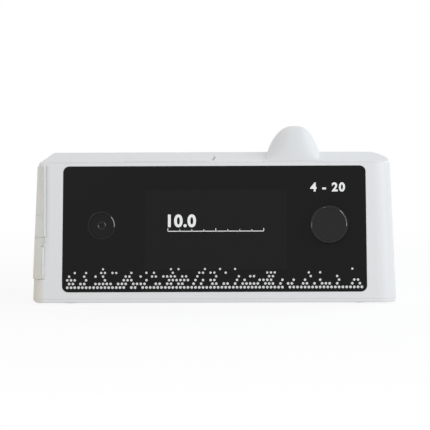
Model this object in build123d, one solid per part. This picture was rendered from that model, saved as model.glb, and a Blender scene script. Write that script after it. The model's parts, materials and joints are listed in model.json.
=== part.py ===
from build123d import *

import os
from math import asin, cos, degrees, radians, sin, tan

# CPAP machine: a leaning control front, a humidifier tank that slides out of the left
# end, a blower on the right and a hose outlet at the rear under a hood.
# Millimetres. +Z up, front towards -Y, origin on the floor under the middle of the machine.

# Body
half_width = 120.4
body_depth = 150.0
side_draft = 2.3
front_lean = 8.0
wall = 2.5
front_wall = 3.0
top_round = 1.8
front_left_round = 3.5
front_right_round = 12.0
back_left_round = 3.0
back_right_round = 11.0
taper_start = 43.0
taper_radius = 590.0
foot_left_round = 5.0
foot_right_round = 1.8
part_gap = 0.3
fine_gap = 0.05

# Base tray and feet
foot_radius = 7.0
foot_height = 1.5
foot_seat = 0.8
foot_inset_x = 24.4
foot_inset_y = 22.0
tray_thick = 2.4
rim_height = 3.0
rim_thick = 1.5
screw_radius = 1.5
screw_head_radius = 2.9
screw_head_height = 1.0
screw_length = 12.0
screw_inset_y = 20.0
right_screw_inset_y = 60.0
pillar_gap = 1.0
middle_screw_inset = 8.0
boss_radius = 4.0

# Hood over the hose outlet
hood_inset_x = 67.4
hood_half_width = 19.0
hood_half_height = 24.0
hood_sink = 5.0
hood_setback = 6.0
hood_stations = (0.0, 0.12, 0.35, 0.65, 1.0)
hood_start_rise = 0.3

# Low pad on the top, with a finger groove at its right end
pad_inset_x = 49.3
pad_end = 6.6
pad_setback = 5.0
pad_length = 76.0
pad_height = 0.4
pad_round = 3.0
pad_edge_round = 0.3
pad_groove_width = 1.6
pad_groove_end_width = 0.6
pad_groove_start = 19.0
pad_groove_length = 56.0
pad_groove_depth = 1.2

# Hose outlet
port_radius = 11.0
port_bore = 9.0
port_reach = 20.0
port_rise = 3.5
port_root_radius = 11.6
port_flange_radius = 12.6
port_flange = 2.5
port_boss_radius = 14.5
port_boss = 1.5

# Fascia and display
fascia_side = 19.45
fascia_taper = 0.8
fascia_foot = 7.1
fascia_head = 2.81
fascia_round = 4.0
fascia_thick = 1.6
fascia_ledge = 4.0
display_x = 1.0
display_rise = -0.25
display_margin = 4.15
display_width = 95.04
display_height = 53.86
module_width = 105.5
module_height = 67.2
module_thick = 2.9
gasket_thick = 0.8
gasket_lap = 1.5
carrier_thick = 2.0
carrier_flange = 3.0
carrier_flange_thick = 1.6
board_depth = 12.0
board_thick = 1.6
board_side = 8.95
board_margin_v = 3.0
standoff_radius = 3.0
standoff_inset = 4.0
cable_width = 30.0
cable_thick = 0.3
cable_rise = 2.0
long_cable_width = 12.0
long_cable_rise = 4.0
long_cable_thick = 0.4
long_cable_lap = 3.0
long_cable_lead = 4.0
long_cable_drop = 0.5
long_cable_bow = 2.0
long_cable_side = 8.0

# Controls
control_rise = 2.45
button_inset = 26.05
button_radius = 8.2
button_flange_radius = 9.1
button_flange = 1.4
button_flange_depth = 2.0
button_stem_radius = 1.7
button_travel = 0.8
ring_inner = 8.5
ring_outer = 9.3
ring_proud = 0.3
switch_size = 6.0
switch_height = 3.5
knob_inset = 24.85
knob_web = 1.5
knob_radius = 12.4
knob_lift = 0.6
knob_height = 6.0
knob_chamfer = 1.0
knob_cap_radius = 10.8
knob_cap_thick = 0.7
shaft_radius = 3.0
bushing_radius = 4.2
bushing_hole_gap = 0.2
encoder_size = 13.0
encoder_height = 6.5
encoder_floor = 0.8
nut_across = 11.0
nut_thick = 1.6
nut_room = 8.0
plunger_radius = 1.2
knob_travel = 0.5

# Tank end cap
cap_proud = 0.8
cap_depth = 7.4
cap_skin = 2.2
cap_edge_round = 1.0
mouth_round = 2.2
ledge_height = 15.5
grip_height = 27.6
notch_height = 3.4
notch_slope = 2.6
notch_out = 0.8
grip_setback = 1.2
cap_gap = 0.4
groove_rise = 14.9
groove_size = 0.5
cap_boss_radius = 3.5
cap_boss_inset = 28.0

# Tank bay
bay_front = 38.0
bay_back = 5.5
bay_wall = 2.0
bay_head = 7.0
bay_end_inset = 128.4
bay_post_radius = 4.0
bay_post_inset = 7.0

# Tank
tank_gap = 0.5
tank_end_gap = 4.0
tank_wall = 2.2
tank_floor = 1.0
rail_width = 4.0
lid_height = 22.5
seal_height = 2.0
seal_width = 3.0
plate_margin = 14.1
plate_drop = 0.3
air_drop = 13.5
nozzle_radius = 8.0
nozzle_bore = 6.5
nozzle_reach = 1.0
outlet_inset = 13.0
release_inset = 14.5
release_rise = 10.0
release_radius = 4.7
release_flange_radius = 6.0
release_flange = 0.8
release_proud = 0.9
release_stem_radius = 2.0
release_travel = 1.2
shoe_width = 8.0
shoe_thick = 1.1
shoe_height = 16.0

# Heater
heater_thick = 2.5
heater_rise = 0.3
heater_rim = 2.0
heater_foil = 0.4
heater_pad = 4.4
heater_frame_floor = 2.0
heater_margin = 0.5

# Air seals and ducts
seal_flange_radius = 12.0
seal_flange = 2.7
seal_neck_radius = 8.9
duct_radius = 10.0
duct_bore = 8.0

# Blower
blower_inset_x = 56.4
blower_inset_y = 67.0
volute_radius = 33.0
volute_height = 26.0
volute_rise = 12.0
volute_wall = 2.0
outlet_half_width = 9.0
outlet_side = 24.0
outlet_reach = 38.0
stub_radius = 7.8
stub_bore = 6.0
stub_length = 12.0
eye_radius = 13.0
hose_lap = 9.0
ear_reach = 38.0
ear_radius = 6.0
ear_thick = 3.0
ear_angles = (30.0, 150.0, 270.0)
grommet_height = 5.0
post_radius = 5.0
motor_radius = 17.0
motor_wall = 1.5
motor_drop = 19.0
shaft_inset = 1.0
rotor_radius = 8.2
rotor_gap = 0.8
bearing_radius = 5.0
bearing_height = 4.0
motor_shaft_radius = 2.0
impeller_radius = 28.0
impeller_lift = 1.5
impeller_plate = 1.5
impeller_height = 13.0
hub_radius = 6.0
blade_count = 11
blade_thick = 1.0
blade_offset = 2.0

# Inlet, rear flaps and rear electronics
filter_inset_x = 49.9
filter_rise = 36.5
filter_width = 42.0
filter_height = 34.0
filter_pad = 4.0
flap_thick = 2.0
flap_gap = 0.35
flap_pin_radius = 0.8
flap_pin_length = 1.6
muffler_depth = 28.0
muffler_wall = 2.0
muffler_foam = 4.0
louvre_margin = 6.0
louvre_width = 2.2
louvre_count = 5
main_board_start = 3.0
main_board_width = 54.0
main_board_depth = 36.0
main_board_inset = 2.5
main_board_rise = 8.5
jack_start = 13.0
jack_back = 2.0
jack_width = 11.0
jack_depth = 14.0
jack_height = 11.0
jack_bore = 4.0
jack_pin_radius = 1.25
slot_start = 33.0
slot_sheet = 0.4
slot_width = 26.0
slot_depth = 20.0
slot_height = 3.2
slot_flap_width = 30.0
slot_flap_height = 10.0
sensor_size = (12.0, 16.0, 14.0)
sensor_inset_y = 57.0
tube_lead = 8.0
tube_radius = 1.5

# Levels and planes worked out from the sizes above
lean = radians(front_lean)
fascia_height = module_height + 2 * (fascia_ledge + display_margin)
body_height = (fascia_foot + fascia_height + fascia_head) * cos(lean)
base_z = foot_height
seam_z = base_z + tray_thick
top_z = base_z + body_height
front_foot_y = -(body_depth + port_reach) / 2
back_y = front_foot_y + body_depth
back_inner_y = back_y - wall
foot_x = half_width - foot_inset_x
hood_x = half_width - hood_inset_x
port_z = top_z + port_rise
hood_z = top_z - hood_sink

# Places on the leaning front, in its own frame
fascia_bottom_width = 2 * (half_width - fascia_side)
fascia_top_width = fascia_bottom_width - 2 * fascia_taper
fascia_middle = fascia_foot + fascia_height / 2
display_v = fascia_middle + display_rise
control_v = fascia_middle + control_rise
button_x = button_inset - fascia_bottom_width / 2
knob_x = fascia_bottom_width / 2 - knob_inset
board_width = fascia_bottom_width - 2 * board_side
board_low = fascia_foot + fascia_ledge + board_margin_v
board_high = fascia_foot + fascia_height - fascia_ledge - board_margin_v

# Tank, bay and heater
ledge_z = base_z + ledge_height
grip_z = ledge_z + grip_height
cap_top_z = top_z - wall
cap_x = -half_width + cap_depth
left_inner_x = cap_x + notch_out + cap_gap + wall
bay_end_x = half_width - bay_end_inset
bay_floor_z = ledge_z
bay_top_z = top_z - bay_head
bay_y = (front_foot_y + bay_front, back_y - bay_back)
bay_inner_y = (bay_y[0] + bay_wall, bay_y[1] - bay_wall)
bay_inner_z = (bay_floor_z + bay_wall, bay_top_z - bay_wall)
tank_x = (cap_x + notch_out, bay_end_x - bay_wall - tank_end_gap)
tank_y = (bay_inner_y[0] + tank_gap, bay_inner_y[1] - tank_gap)
tank_top_z = bay_inner_z[1] - tank_gap
tub_floor_z = bay_inner_z[0] + tank_floor
lid_z = tank_top_z - lid_height
tub_top_z = lid_z - seal_height
air_z = tank_top_z - air_drop
outlet_y = tank_y[1] - outlet_inset
release_y = tank_y[0] + release_inset
release_z = ledge_z + release_rise
shoe_top = ledge_z + shoe_height
pad_x = (left_inner_x + pad_inset_x, bay_end_x + pad_end)
plate_x = (tank_x[0] + tank_x[1]) / 2
plate_y = (tank_y[0] + tank_y[1]) / 2
plate_size = min(tank_x[1] - tank_x[0], tank_y[1] - tank_y[0]) - 2 * plate_margin
heater_z = bay_inner_z[0] + heater_rise

# Blower, inlet and rear electronics
blower_x = half_width - blower_inset_x
blower_y = back_y - blower_inset_y
blower_outlet_y = blower_y - outlet_side
outlet_box_x = blower_x - outlet_reach
volute_top = air_z + volute_rise
volute_bottom = volute_top - volute_height
filter_x = half_width - filter_inset_x
filter_z = base_z + filter_rise
main_board_x = (bay_end_x + main_board_start, bay_end_x + main_board_start + main_board_width)
main_board_y = (back_inner_y - main_board_inset - main_board_depth, back_inner_y - main_board_inset)
main_board_z = base_z + main_board_rise
jack_x = main_board_x[0] + jack_start
slot_x = main_board_x[0] + slot_start
sensor_y = back_y - sensor_inset_y
far = 400.0

# Front face frame: local x to the right, y up the slope, z outwards
face = Plane(origin=(0, front_foot_y, base_z), x_dir=(1, 0, 0), z_dir=(0, -cos(lean), sin(lean)))


def slab(x, y, z):
    """A box between pairs of limits."""
    limits = (x, y, z)
    size = [high - low for low, high in limits]
    middle = [(high + low) / 2 for low, high in limits]
    return Pos(*middle) * Box(*size)


def rod(start, direction, radius, length):
    """A cylinder from a start point along a direction."""
    place = Plane(origin=start, z_dir=direction).location
    return place * Cylinder(radius, length, align=(Align.CENTER, Align.CENTER, Align.MIN))


def upright(x, y, z, radius):
    """A vertical cylinder at x, y between two levels."""
    return rod((x, y, z[0]), (0, 0, 1), radius, z[1] - z[0])


def pipe(points, radius):
    """Straight round runs through the points, with a ball at each inner corner."""
    solid = None
    for start, end in zip(points, points[1:]):
        run = Vector(*end) - Vector(*start)
        piece = rod(start, run.normalized(), radius, run.length)
        solid = piece if solid is None else solid + piece
    for corner in points[1:-1]:
        solid = solid + Pos(*corner) * Sphere(radius)
    return solid


def around(size, grow):
    """A pair of limits made larger by grow on both sides."""
    return (size[0] - grow, size[1] + grow)


def centred(middle, size):
    """A pair of limits about a middle."""
    return (middle - size / 2, middle + size / 2)


def side_x(z, inset=0.0):
    """Half width of the body at height z."""
    return half_width - (z - base_z) * tan(radians(side_draft)) - inset


def front_y(z, inset=0.0):
    """Place of the leaning front face at height z."""
    return front_foot_y + (z - base_z) * tan(lean) + inset


def back_and_right_end(inset, z_low, z_high):
    """Room in front of the back and left of the right end, which curves in towards the back."""
    edge = side_x(z_low, inset)
    start = front_foot_y + taper_start
    radius = taper_radius - inset
    turn = degrees(asin((back_y - inset - start) / radius))
    curve = CenterArc((edge - radius, start), radius, 0.0, turn)
    corner = curve @ 1
    corners = ((corner.X, corner.Y), (-far, corner.Y), (-far, -far), (edge, -far), (edge, start))
    outline = make_face([curve, Polyline(*corners)])
    outline = fillet(outline.vertices().sort_by_distance((corner.X, corner.Y))[0], back_right_round - inset)
    draft = radians(side_draft)
    return extrude(Pos(0, 0, z_low) * outline, (z_high - z_low) / cos(draft), dir=(-sin(draft), 0.0, cos(draft)))


def rounded_block(inset, z_low, z_high, top=0.0):
    """The body's outline between two levels, with drafted ends and a leaning front."""
    low = side_x(z_low, inset)
    high = side_x(z_high, inset)
    ends = Polygon((-low, z_low), (far, z_low), (far, z_high), (-high, z_high), align=None)
    block = extrude(Plane.XZ * ends, far, both=True) & back_and_right_end(inset, z_low, z_high)
    fronts = (front_y(z_low, inset), front_y(z_high, inset))
    sides = Polygon((fronts[0], z_low), (far, z_low), (far, z_high), (fronts[1], z_high), align=None)
    block = block & extrude(Plane.YZ * sides, far, both=True)
    middle_y = (front_foot_y + back_y) / 2
    rounds = (
        (-1, -1, front_left_round),
        (1, -1, front_right_round),
        (-1, 1, back_left_round),
    )
    for side, depth, radius in rounds:
        corner = [
            edge
            for edge in block.edges()
            if z_low + 1e-3 < edge.center().Z < z_high - 1e-3
            and edge.center().X * side > half_width / 2
            and (edge.center().Y - middle_y) * depth > body_depth / 4
        ]
        block = fillet(corner, max(radius - inset, 0.8))
    if top:
        block = fillet(block.faces().sort_by(Axis.Z)[-1].edges(), top)
    return block


def foot_profile():
    """Front view that rounds the two lower edges of the body."""
    left = -half_width - cap_proud
    outline = Polygon((left, base_z), (half_width, base_z), (half_width, far), (left, far), align=None)
    lower = outline.vertices().group_by(Axis.Y)[0].sort_by(Axis.X)
    outline = fillet(lower[0], foot_left_round)
    lower = outline.vertices().group_by(Axis.Y)[0].sort_by(Axis.X)
    outline = fillet(lower[-1], foot_right_round)
    return extrude(Plane.XZ * outline, far, both=True)


def cavity(extra, z_low, z_high):
    """The space inside the housing walls, made smaller by extra."""
    room = rounded_block(wall + extra, z_low, z_high)
    return room & slab((left_inner_x + extra, far), (-far, far), (z_low, z_high))


def cap_region(gap):
    """Everything left of the stepped line between the tank's end cap and the housing."""
    edge = cap_x + gap
    low = ledge_z + part_gap - gap
    high = cap_top_z - part_gap + gap
    notch = grip_z - notch_height
    outline = Polygon(
        (-far, low),
        (edge - grip_setback, low),
        (edge - grip_setback, notch - notch_slope),
        (edge + notch_out, notch),
        (edge + notch_out, grip_z),
        (edge, grip_z),
        (edge, high),
        (-far, high),
        align=None,
    )
    return extrude(Plane.XZ * outline, far, both=True)


def hood(inset):
    """Ridge through upright ellipses that rise on a quarter sine from the front to the rear."""
    front = front_y(top_z) + hood_setback
    full_rise = hood_half_height - hood_sink - hood_start_rise
    sections = []
    for share in hood_stations:
        y = front + inset + share * (back_y - 2 * inset - front)
        rise = hood_start_rise + full_rise * sin(radians(90.0 * share))
        place = Plane(origin=(hood_x, y, hood_z), x_dir=(1, 0, 0), z_dir=(0, -1, 0))
        size = (hood_half_width - inset, hood_sink + rise - inset, 1.0)
        sections.append(place * scale(Circle(1.0), by=size))
    shape = loft(sections)
    return shape & slab((-far, far), (-far, far), (top_z - wall - 1.0, far))


def port_hole():
    return rod((hood_x, back_inner_y - 1.0, port_z), (0, 1, 0), port_root_radius + fine_gap, far)


def port_collar():
    """Boss that holds the hose outlet, half on the housing and half on the hood."""
    collar = rod((hood_x, back_inner_y, port_z), (0, 1, 0), port_boss_radius, wall + port_boss)
    return collar - port_hole()


def on_face(shape):
    """Moves a shape from the front face's own frame to the machine's."""
    return face.location * shape


def face_slab(u, v, w):
    return on_face(slab(u, v, w))


def face_rod(u, v, w, radius):
    """A cylinder square to the front face between two depths."""
    return on_face(Pos(u, v, (w[0] + w[1]) / 2) * Cylinder(radius, w[1] - w[0]))


def fascia_outline(grow, w):
    """The fascia's tapered outline, grown or shrunk, between two depths."""
    bottom = fascia_bottom_width / 2 + grow
    top = fascia_top_width / 2 + grow
    low = fascia_foot - grow
    high = fascia_foot + fascia_height + grow
    outline = Polygon((-bottom, low), (bottom, low), (top, high), (-top, high), align=None)
    outline = fillet(outline.vertices(), max(fascia_round + grow, 1.0))
    return on_face(Pos(0, 0, w[0]) * extrude(outline, w[1] - w[0]))


def ear_places():
    for angle in ear_angles:
        yield blower_x + ear_reach * cos(radians(angle)), blower_y + ear_reach * sin(radians(angle))


def case_screw_places():
    left = left_inner_x - boss_radius
    right = half_width - wall - 2 * boss_radius
    front = bay_y[0] - boss_radius - pillar_gap
    middle = (bay_end_x + middle_screw_inset, front)
    back = back_y - screw_inset_y
    return ((left, front), (left, back), middle, (right, front), (right, back_y - right_screw_inset_y))


def bay_post_places():
    for x in (left_inner_x + bay_post_inset, bay_end_x - bay_post_inset):
        for y in (bay_y[0] + bay_post_inset, bay_y[1] - bay_post_inset):
            yield x, y


def heater_post_places():
    reach = plate_size / 2 - heater_rim
    for x in (plate_x - reach, plate_x + reach):
        for y in (plate_y - reach, plate_y + reach):
            yield x, y


def board_post_places():
    for x in around(main_board_x, -standoff_inset):
        for y in around(main_board_y, -standoff_inset):
            yield x, y


def standoff_places():
    """Places of the control board's standoffs on the carrier, in the face's frame."""
    for u in (-board_width / 2 + standoff_inset, board_width / 2 - standoff_inset):
        for v in (board_low + standoff_inset, board_high - standoff_inset):
            yield u, v


# Base tray, feet and case screws


def base_tray():
    tray = rounded_block(0.0, base_z, seam_z) & foot_profile()
    rim = cavity(part_gap, seam_z, seam_z + rim_height)
    tray = tray + (rim - cavity(part_gap + rim_thick, seam_z, seam_z + rim_height))
    for x, y in bay_post_places():
        tray = tray + upright(x, y, (seam_z, bay_floor_z), bay_post_radius)
    heater_bottom = heater_z - heater_thick - heater_foil - heater_pad - heater_frame_floor
    for x, y in heater_post_places():
        tray = tray + upright(x, y, (seam_z, heater_bottom), bay_post_radius)
    for x, y in board_post_places():
        post = upright(x, y, (seam_z, main_board_z), standoff_radius)
        tray = tray + post - upright(x, y, (seam_z, main_board_z), screw_radius + fine_gap)
    for x, y in ear_places():
        high = volute_bottom - grommet_height
        tray = tray + upright(x, y, (seam_z, high), post_radius)
        tray = tray - upright(x, y, (high - screw_length, high), screw_radius + fine_gap)
    for x, y in case_screw_places():
        tray = tray - upright(x, y, (base_z, seam_z), screw_radius + part_gap)
        tray = tray - upright(x, y, (base_z, base_z + screw_head_height), screw_head_radius + part_gap)
    for x, y in foot_places():
        tray = tray - upright(x, y, (base_z, base_z + foot_seat), foot_radius + fine_gap)
    return tray


def foot_places():
    for x in (-foot_x, foot_x):
        for y in (front_foot_y + foot_inset_y, back_y - foot_inset_y):
            yield x, y


def rubber_feet():
    feet = []
    for x, y in foot_places():
        foot = upright(x, y, (0.0, base_z + foot_seat), foot_radius)
        feet.append(chamfer(foot.edges().group_by(Axis.Z)[0], 0.5))
    return Compound(children=feet)


def screw(x, y, z_head, up):
    """A pan head screw with its head at z_head and its shank going up or down."""
    if up:
        head = upright(x, y, (z_head, z_head + screw_head_height), screw_head_radius)
        return head + upright(x, y, (z_head, z_head + screw_length), screw_radius)
    head = upright(x, y, (z_head - screw_head_height, z_head), screw_head_radius)
    return head + upright(x, y, (z_head - screw_length, z_head), screw_radius)


def case_screws():
    return Compound(children=[screw(x, y, base_z, True) for x, y in case_screw_places()])


# Housing


def flap_opening(x, z, width, height):
    """Through hole in the rear wall, with the pin holes of the flap's hinge."""
    hole = slab(centred(x, width), (back_inner_y - 1.0, far), centred(z, height))
    pin_z = z + height / 2 - flap_gap - flap_thick / 2
    reach = width + 2 * (flap_pin_length - flap_gap + part_gap)
    start = (x - reach / 2, back_y - flap_thick / 2, pin_z)
    return hole + rod(start, (1, 0, 0), flap_pin_radius + fine_gap, reach)


def housing():
    shell = rounded_block(0.0, seam_z, top_z, top_round) & foot_profile()
    shell = shell + (hood(0.0) & below_hood())
    shell = shell - cavity(0.0, seam_z, cap_top_z)
    shell = shell - hood(wall)
    shell = shell - cap_region(cap_gap)
    shell = shell - slab((-far, left_inner_x + 1.0), bay_inner_y, bay_inner_z)
    for x, z in joint_edges():
        shell = shell - edge_cut(x + cap_gap, z, 1, mouth_round)
    shell = shell + top_pad() - pad_groove()
    shell = shell - fascia_outline(part_gap / 2, (-fascia_thick, 10.0))
    shell = shell - fascia_outline(-fascia_ledge, (-front_wall - 3.0, 10.0))
    shell = shell - port_hole() + (port_collar() & below_hood())
    for x, y in case_screw_places():
        if x > left_inner_x:
            shell = shell + upright(x, y, (seam_z, cap_top_z), boss_radius)
        shell = shell - upright(x, y, (seam_z, base_z + screw_length + 1.0), screw_radius + fine_gap)
    shell = shell - flap_opening(filter_x, filter_z, filter_width, filter_height)
    shell = shell - flap_opening(slot_x, slot_mid_z(), slot_flap_width, slot_flap_height)
    shell = shell - rod((jack_x, back_inner_y - 1.0, jack_mid_z()), (0, 1, 0), jack_bore + part_gap, far)
    return shell


def below_hood():
    """Everything under the joint between the hood and the top."""
    return slab((-far, far), (-far, far), (0.0, top_z))


def outlet_hood():
    shell = hood(0.0) - hood(wall) - port_hole()
    return shell + port_collar() - below_hood()


def top_pad():
    """Low rounded pad on the top, near the front."""
    front = front_y(top_z) + pad_setback
    pad = slab(pad_x, (front, front + pad_length), (top_z - wall / 2, top_z + pad_height))
    pad = fillet(pad.edges().filter_by(Axis.Z), pad_round)
    return fillet(pad.faces().sort_by(Axis.Z)[-1].edges(), pad_edge_round)


def pad_groove():
    """Groove along the pad's right end that narrows towards the back."""
    front = front_y(top_z) + pad_groove_start
    near = centred(pad_x[1], pad_groove_width)
    away = centred(pad_x[1], pad_groove_end_width)
    back = front + pad_groove_length
    outline = Polygon((near[0], front), (near[1], front), (away[1], back), (away[0], back), align=None)
    return extrude(Pos(0, 0, top_z - pad_groove_depth) * outline, pad_groove_depth + 1.0)


def slot_mid_z():
    return main_board_z + board_thick + slot_height / 2


def jack_mid_z():
    return main_board_z + board_thick + jack_height / 2


# Front: fascia, display and carrier


def fascia_panel():
    panel = fascia_outline(0.0, (-fascia_thick, 0.0))
    window = (centred(display_x, display_width), centred(display_v, display_height))
    panel = panel - face_slab(*window, (-fascia_thick - 1.0, 1.0))
    panel = panel - face_rod(button_x, control_v, (-fascia_thick - 1.0, 1.0), ring_outer)
    return panel - face_rod(knob_x, control_v, (-fascia_thick - 1.0, 1.0), nut_room)


def display_lens():
    size = (display_width - 2 * fine_gap, display_height - 2 * fine_gap)
    return face_slab(centred(display_x, size[0]), centred(display_v, size[1]), (-fascia_thick, 0.0))


def display_gasket():
    depth = (-fascia_thick - gasket_thick, -fascia_thick)
    ring = face_slab(centred(display_x, module_width), centred(display_v, module_height), depth)
    inner = (display_width - 2 * gasket_lap, display_height - 2 * gasket_lap)
    return ring - face_slab(centred(display_x, inner[0]), centred(display_v, inner[1]), around(depth, 1.0))


def display_module():
    front = -fascia_thick - gasket_thick
    depth = (front - module_thick, front)
    return face_slab(centred(display_x, module_width), centred(display_v, module_height), depth)


def front_carrier():
    back = -fascia_thick - carrier_thick
    plate = fascia_outline(-fascia_ledge - part_gap, (back, -fascia_thick))
    flange = (-front_wall - carrier_flange_thick, -front_wall)
    ring = fascia_outline(carrier_flange - fascia_ledge, flange)
    ring = ring - fascia_outline(-fascia_ledge - carrier_flange, around(flange, 1.0))
    plate = plate + ring
    window = (
        centred(display_x, module_width + 2 * part_gap),
        centred(display_v, module_height + 2 * part_gap),
    )
    for u, v in standoff_places():
        plate = plate + face_rod(u, v, (-board_depth, back + 0.2), standoff_radius)
        plate = plate - face_rod(u, v, (-board_depth - 1.0, back), screw_radius + fine_gap)
    plate = plate - face_slab(*window, (-board_depth, 0.0))
    plate = plate - face_rod(button_x, control_v, (-board_depth, 0.0), button_flange_radius + part_gap)
    bushing = face_rod(knob_x, control_v, (-board_depth, 0.0), bushing_radius + bushing_hole_gap)
    return plate - bushing


def control_board():
    depth = (-board_depth - board_thick, -board_depth)
    board = face_slab(centred(0.0, board_width), (board_low, board_high), depth)
    for u, v in standoff_places():
        board = board - face_rod(u, v, around(depth, 1.0), screw_radius + part_gap)
    return board


def small_screws():
    """Screws of the control board, the main board and the blower's ears."""
    group = []
    back = -board_depth - board_thick
    shank = board_thick + board_depth - fascia_thick - carrier_thick - 1.0
    for u, v in standoff_places():
        head = face_rod(u, v, (back - screw_head_height, back), screw_head_radius)
        group.append(head + face_rod(u, v, (back, back + shank), screw_radius))
    for x, y in board_post_places():
        top = main_board_z + board_thick
        head = upright(x, y, (top, top + screw_head_height), screw_head_radius)
        group.append(head + upright(x, y, (seam_z + 1.0, top), screw_radius))
    for x, y in ear_places():
        group.append(screw(x, y, volute_bottom + ear_thick + screw_head_height, False))
    return Compound(children=group)


# Controls


def button_ring():
    ring = face_rod(button_x, control_v, (-fascia_thick, ring_proud), ring_outer - fine_gap)
    return ring - face_rod(button_x, control_v, (-fascia_thick - 1.0, 1.0), ring_inner)


def power_button():
    flange_back = -button_flange_depth - button_flange
    cap = face_rod(button_x, control_v, (flange_back, 0.0), button_radius)
    cap = cap + face_rod(button_x, control_v, (flange_back, -button_flange_depth), button_flange_radius)
    stem_end = -board_depth + switch_height - button_travel
    return cap + face_rod(button_x, control_v, (stem_end, flange_back), button_stem_radius)


def power_switch():
    top = -board_depth + switch_height
    body = face_slab(centred(button_x, switch_size), centred(control_v, switch_size), (-board_depth, top))
    hole = (top - 2 * button_travel - part_gap, top + 1.0)
    return body - face_rod(button_x, control_v, hole, button_stem_radius + part_gap)


def encoder_body():
    top = -board_depth + encoder_height
    body = face_slab(centred(knob_x, encoder_size), centred(control_v, encoder_size), (-board_depth, top))
    body = body + face_rod(knob_x, control_v, (top, -fascia_thick + nut_thick), bushing_radius)
    return body - face_rod(knob_x, control_v, (-board_depth + encoder_floor, 5.0), shaft_radius + fine_gap)


def encoder_nut():
    nut = extrude(RegularPolygon(nut_across / 2, 6, major_radius=False), nut_thick)
    nut = on_face(Pos(knob_x, control_v, -fascia_thick) * nut)
    return nut - face_rod(knob_x, control_v, (-fascia_thick - 1.0, 1.0), bushing_radius + fine_gap)


def shaft_bottom():
    return -board_depth + encoder_floor + 2 * knob_travel


def encoder_plunger():
    foot = shaft_bottom() - knob_travel + fine_gap
    return face_rod(knob_x, control_v, (foot, knob_lift), plunger_radius)


def encoder_shaft():
    top = knob_lift + knob_height - knob_cap_thick
    shaft = face_rod(knob_x, control_v, (shaft_bottom(), top - knob_web), shaft_radius)
    bore = (shaft_bottom() - 1.0, knob_lift + part_gap)
    return shaft - face_rod(knob_x, control_v, bore, plunger_radius + fine_gap)


def knob():
    top = knob_lift + knob_height
    body = Pos(knob_x, control_v, knob_lift + knob_height / 2) * Cylinder(knob_radius, knob_height)
    body = chamfer(body.edges().group_by(Axis.Z)[-1], knob_chamfer)
    body = on_face(body)
    body = body - face_rod(knob_x, control_v, (top - knob_cap_thick, top + 1.0), knob_cap_radius + fine_gap)
    body = body - face_rod(knob_x, control_v, (0.0, knob_lift + nut_thick), nut_room)
    return body - face_rod(knob_x, control_v, (0.0, top - knob_cap_thick - knob_web), shaft_radius)


def knob_cap():
    top = knob_lift + knob_height
    return face_rod(knob_x, control_v, (top - knob_cap_thick, top), knob_cap_radius)


def ribbon_cables():
    """Flat cables from the display to the control board and on to the main board."""
    low = board_low + cable_rise
    back = -fascia_thick - gasket_thick - module_thick
    short = face_slab(centred(display_x, cable_width), (low, low + cable_thick), (-board_depth, back))
    v = board_low + long_cable_rise
    w = -board_depth - board_thick
    start = (front_foot_y + v * sin(lean) - w * cos(lean), base_z + v * cos(lean) + w * sin(lean))
    end = (main_board_y[0] + long_cable_lap, main_board_z + board_thick)
    upper = [
        start,
        (start[0] + long_cable_lead, start[1] - long_cable_drop),
        (end[0] - long_cable_lead, end[1] + long_cable_bow),
        (end[0], end[1] + long_cable_thick),
    ]
    lower = [(y + fine_gap, z - long_cable_thick) for y, z in reversed(upper)]
    outline = Polygon(*(upper + lower), align=None)
    middle = sum(main_board_x) / 2 - long_cable_side
    long = Pos(middle, 0, 0) * extrude(Plane.YZ * outline, long_cable_width / 2, both=True)
    return Compound(children=[short, long])


# Tank bay and heater


def air_places():
    """The y places of the two air passages in the bay's end wall."""
    return (blower_outlet_y, outlet_y)


def tank_bay():
    bay = slab((left_inner_x, bay_end_x), bay_y, (bay_floor_z, bay_top_z))
    room = slab((left_inner_x - 1.0, bay_end_x - bay_wall), bay_inner_y, bay_inner_z)
    bay = bay - room
    window = plate_size + 2 * heater_margin
    floor_z = around((bay_floor_z, bay_inner_z[0]), 1.0)
    bay = bay - slab(centred(plate_x, window), centred(plate_y, window), floor_z)
    for y in air_places():
        start = (bay_end_x - bay_wall - 1.0, y, air_z)
        bay = bay - rod(start, (1, 0, 0), seal_neck_radius + fine_gap, bay_wall + 2.0)
    return bay


def air_seal(y):
    """Soft ring that the tank's nozzle meets, with a neck through the bay's end wall."""
    front = bay_end_x - bay_wall
    seal = rod((front - seal_flange, y, air_z), (1, 0, 0), seal_flange_radius, seal_flange)
    seal = seal + rod((front, y, air_z), (1, 0, 0), seal_neck_radius, bay_wall)
    bore_start = (front - seal_flange - 1.0, y, air_z)
    return seal - rod(bore_start, (1, 0, 0), nozzle_bore, seal_flange + bay_wall + 2.0)


def heater_levels():
    plate = heater_z - heater_thick
    foil = plate - heater_foil
    pad = foil - heater_pad
    return plate, foil, pad, pad - heater_frame_floor


def heater_plate():
    plate = heater_levels()[0]
    return slab(centred(plate_x, plate_size), centred(plate_y, plate_size), (plate, heater_z))


def heater_pocket(z):
    size = plate_size - 2 * heater_rim
    return slab(centred(plate_x, size), centred(plate_y, size), z)


def heater_film():
    plate, foil, _, _ = heater_levels()
    return heater_pocket((foil, plate))


def heater_insulation():
    _, foil, pad, _ = heater_levels()
    return heater_pocket((pad, foil))


def heater_frame():
    plate, _, pad, bottom = heater_levels()
    frame = slab(centred(plate_x, plate_size), centred(plate_y, plate_size), (bottom, plate))
    return frame - heater_pocket((pad, plate + 1.0))


# Tank


def edge_cut(x, z, side, radius, proud=0.0):
    """What rounding an upright edge of the leaning front takes away; side points into the material."""
    v = [(level - base_z) / cos(lean) for level in z]
    depth = proud * cos(lean)
    corner = face_slab(sorted((x - side, x + side * radius)), v, (depth - radius, depth + 1.0))
    place = Pos(x + side * radius, (v[0] + v[1]) / 2, depth - radius) * Rot(90, 0, 0)
    return corner - on_face(place * Cylinder(radius, v[1] - v[0] + 2.0))


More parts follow.
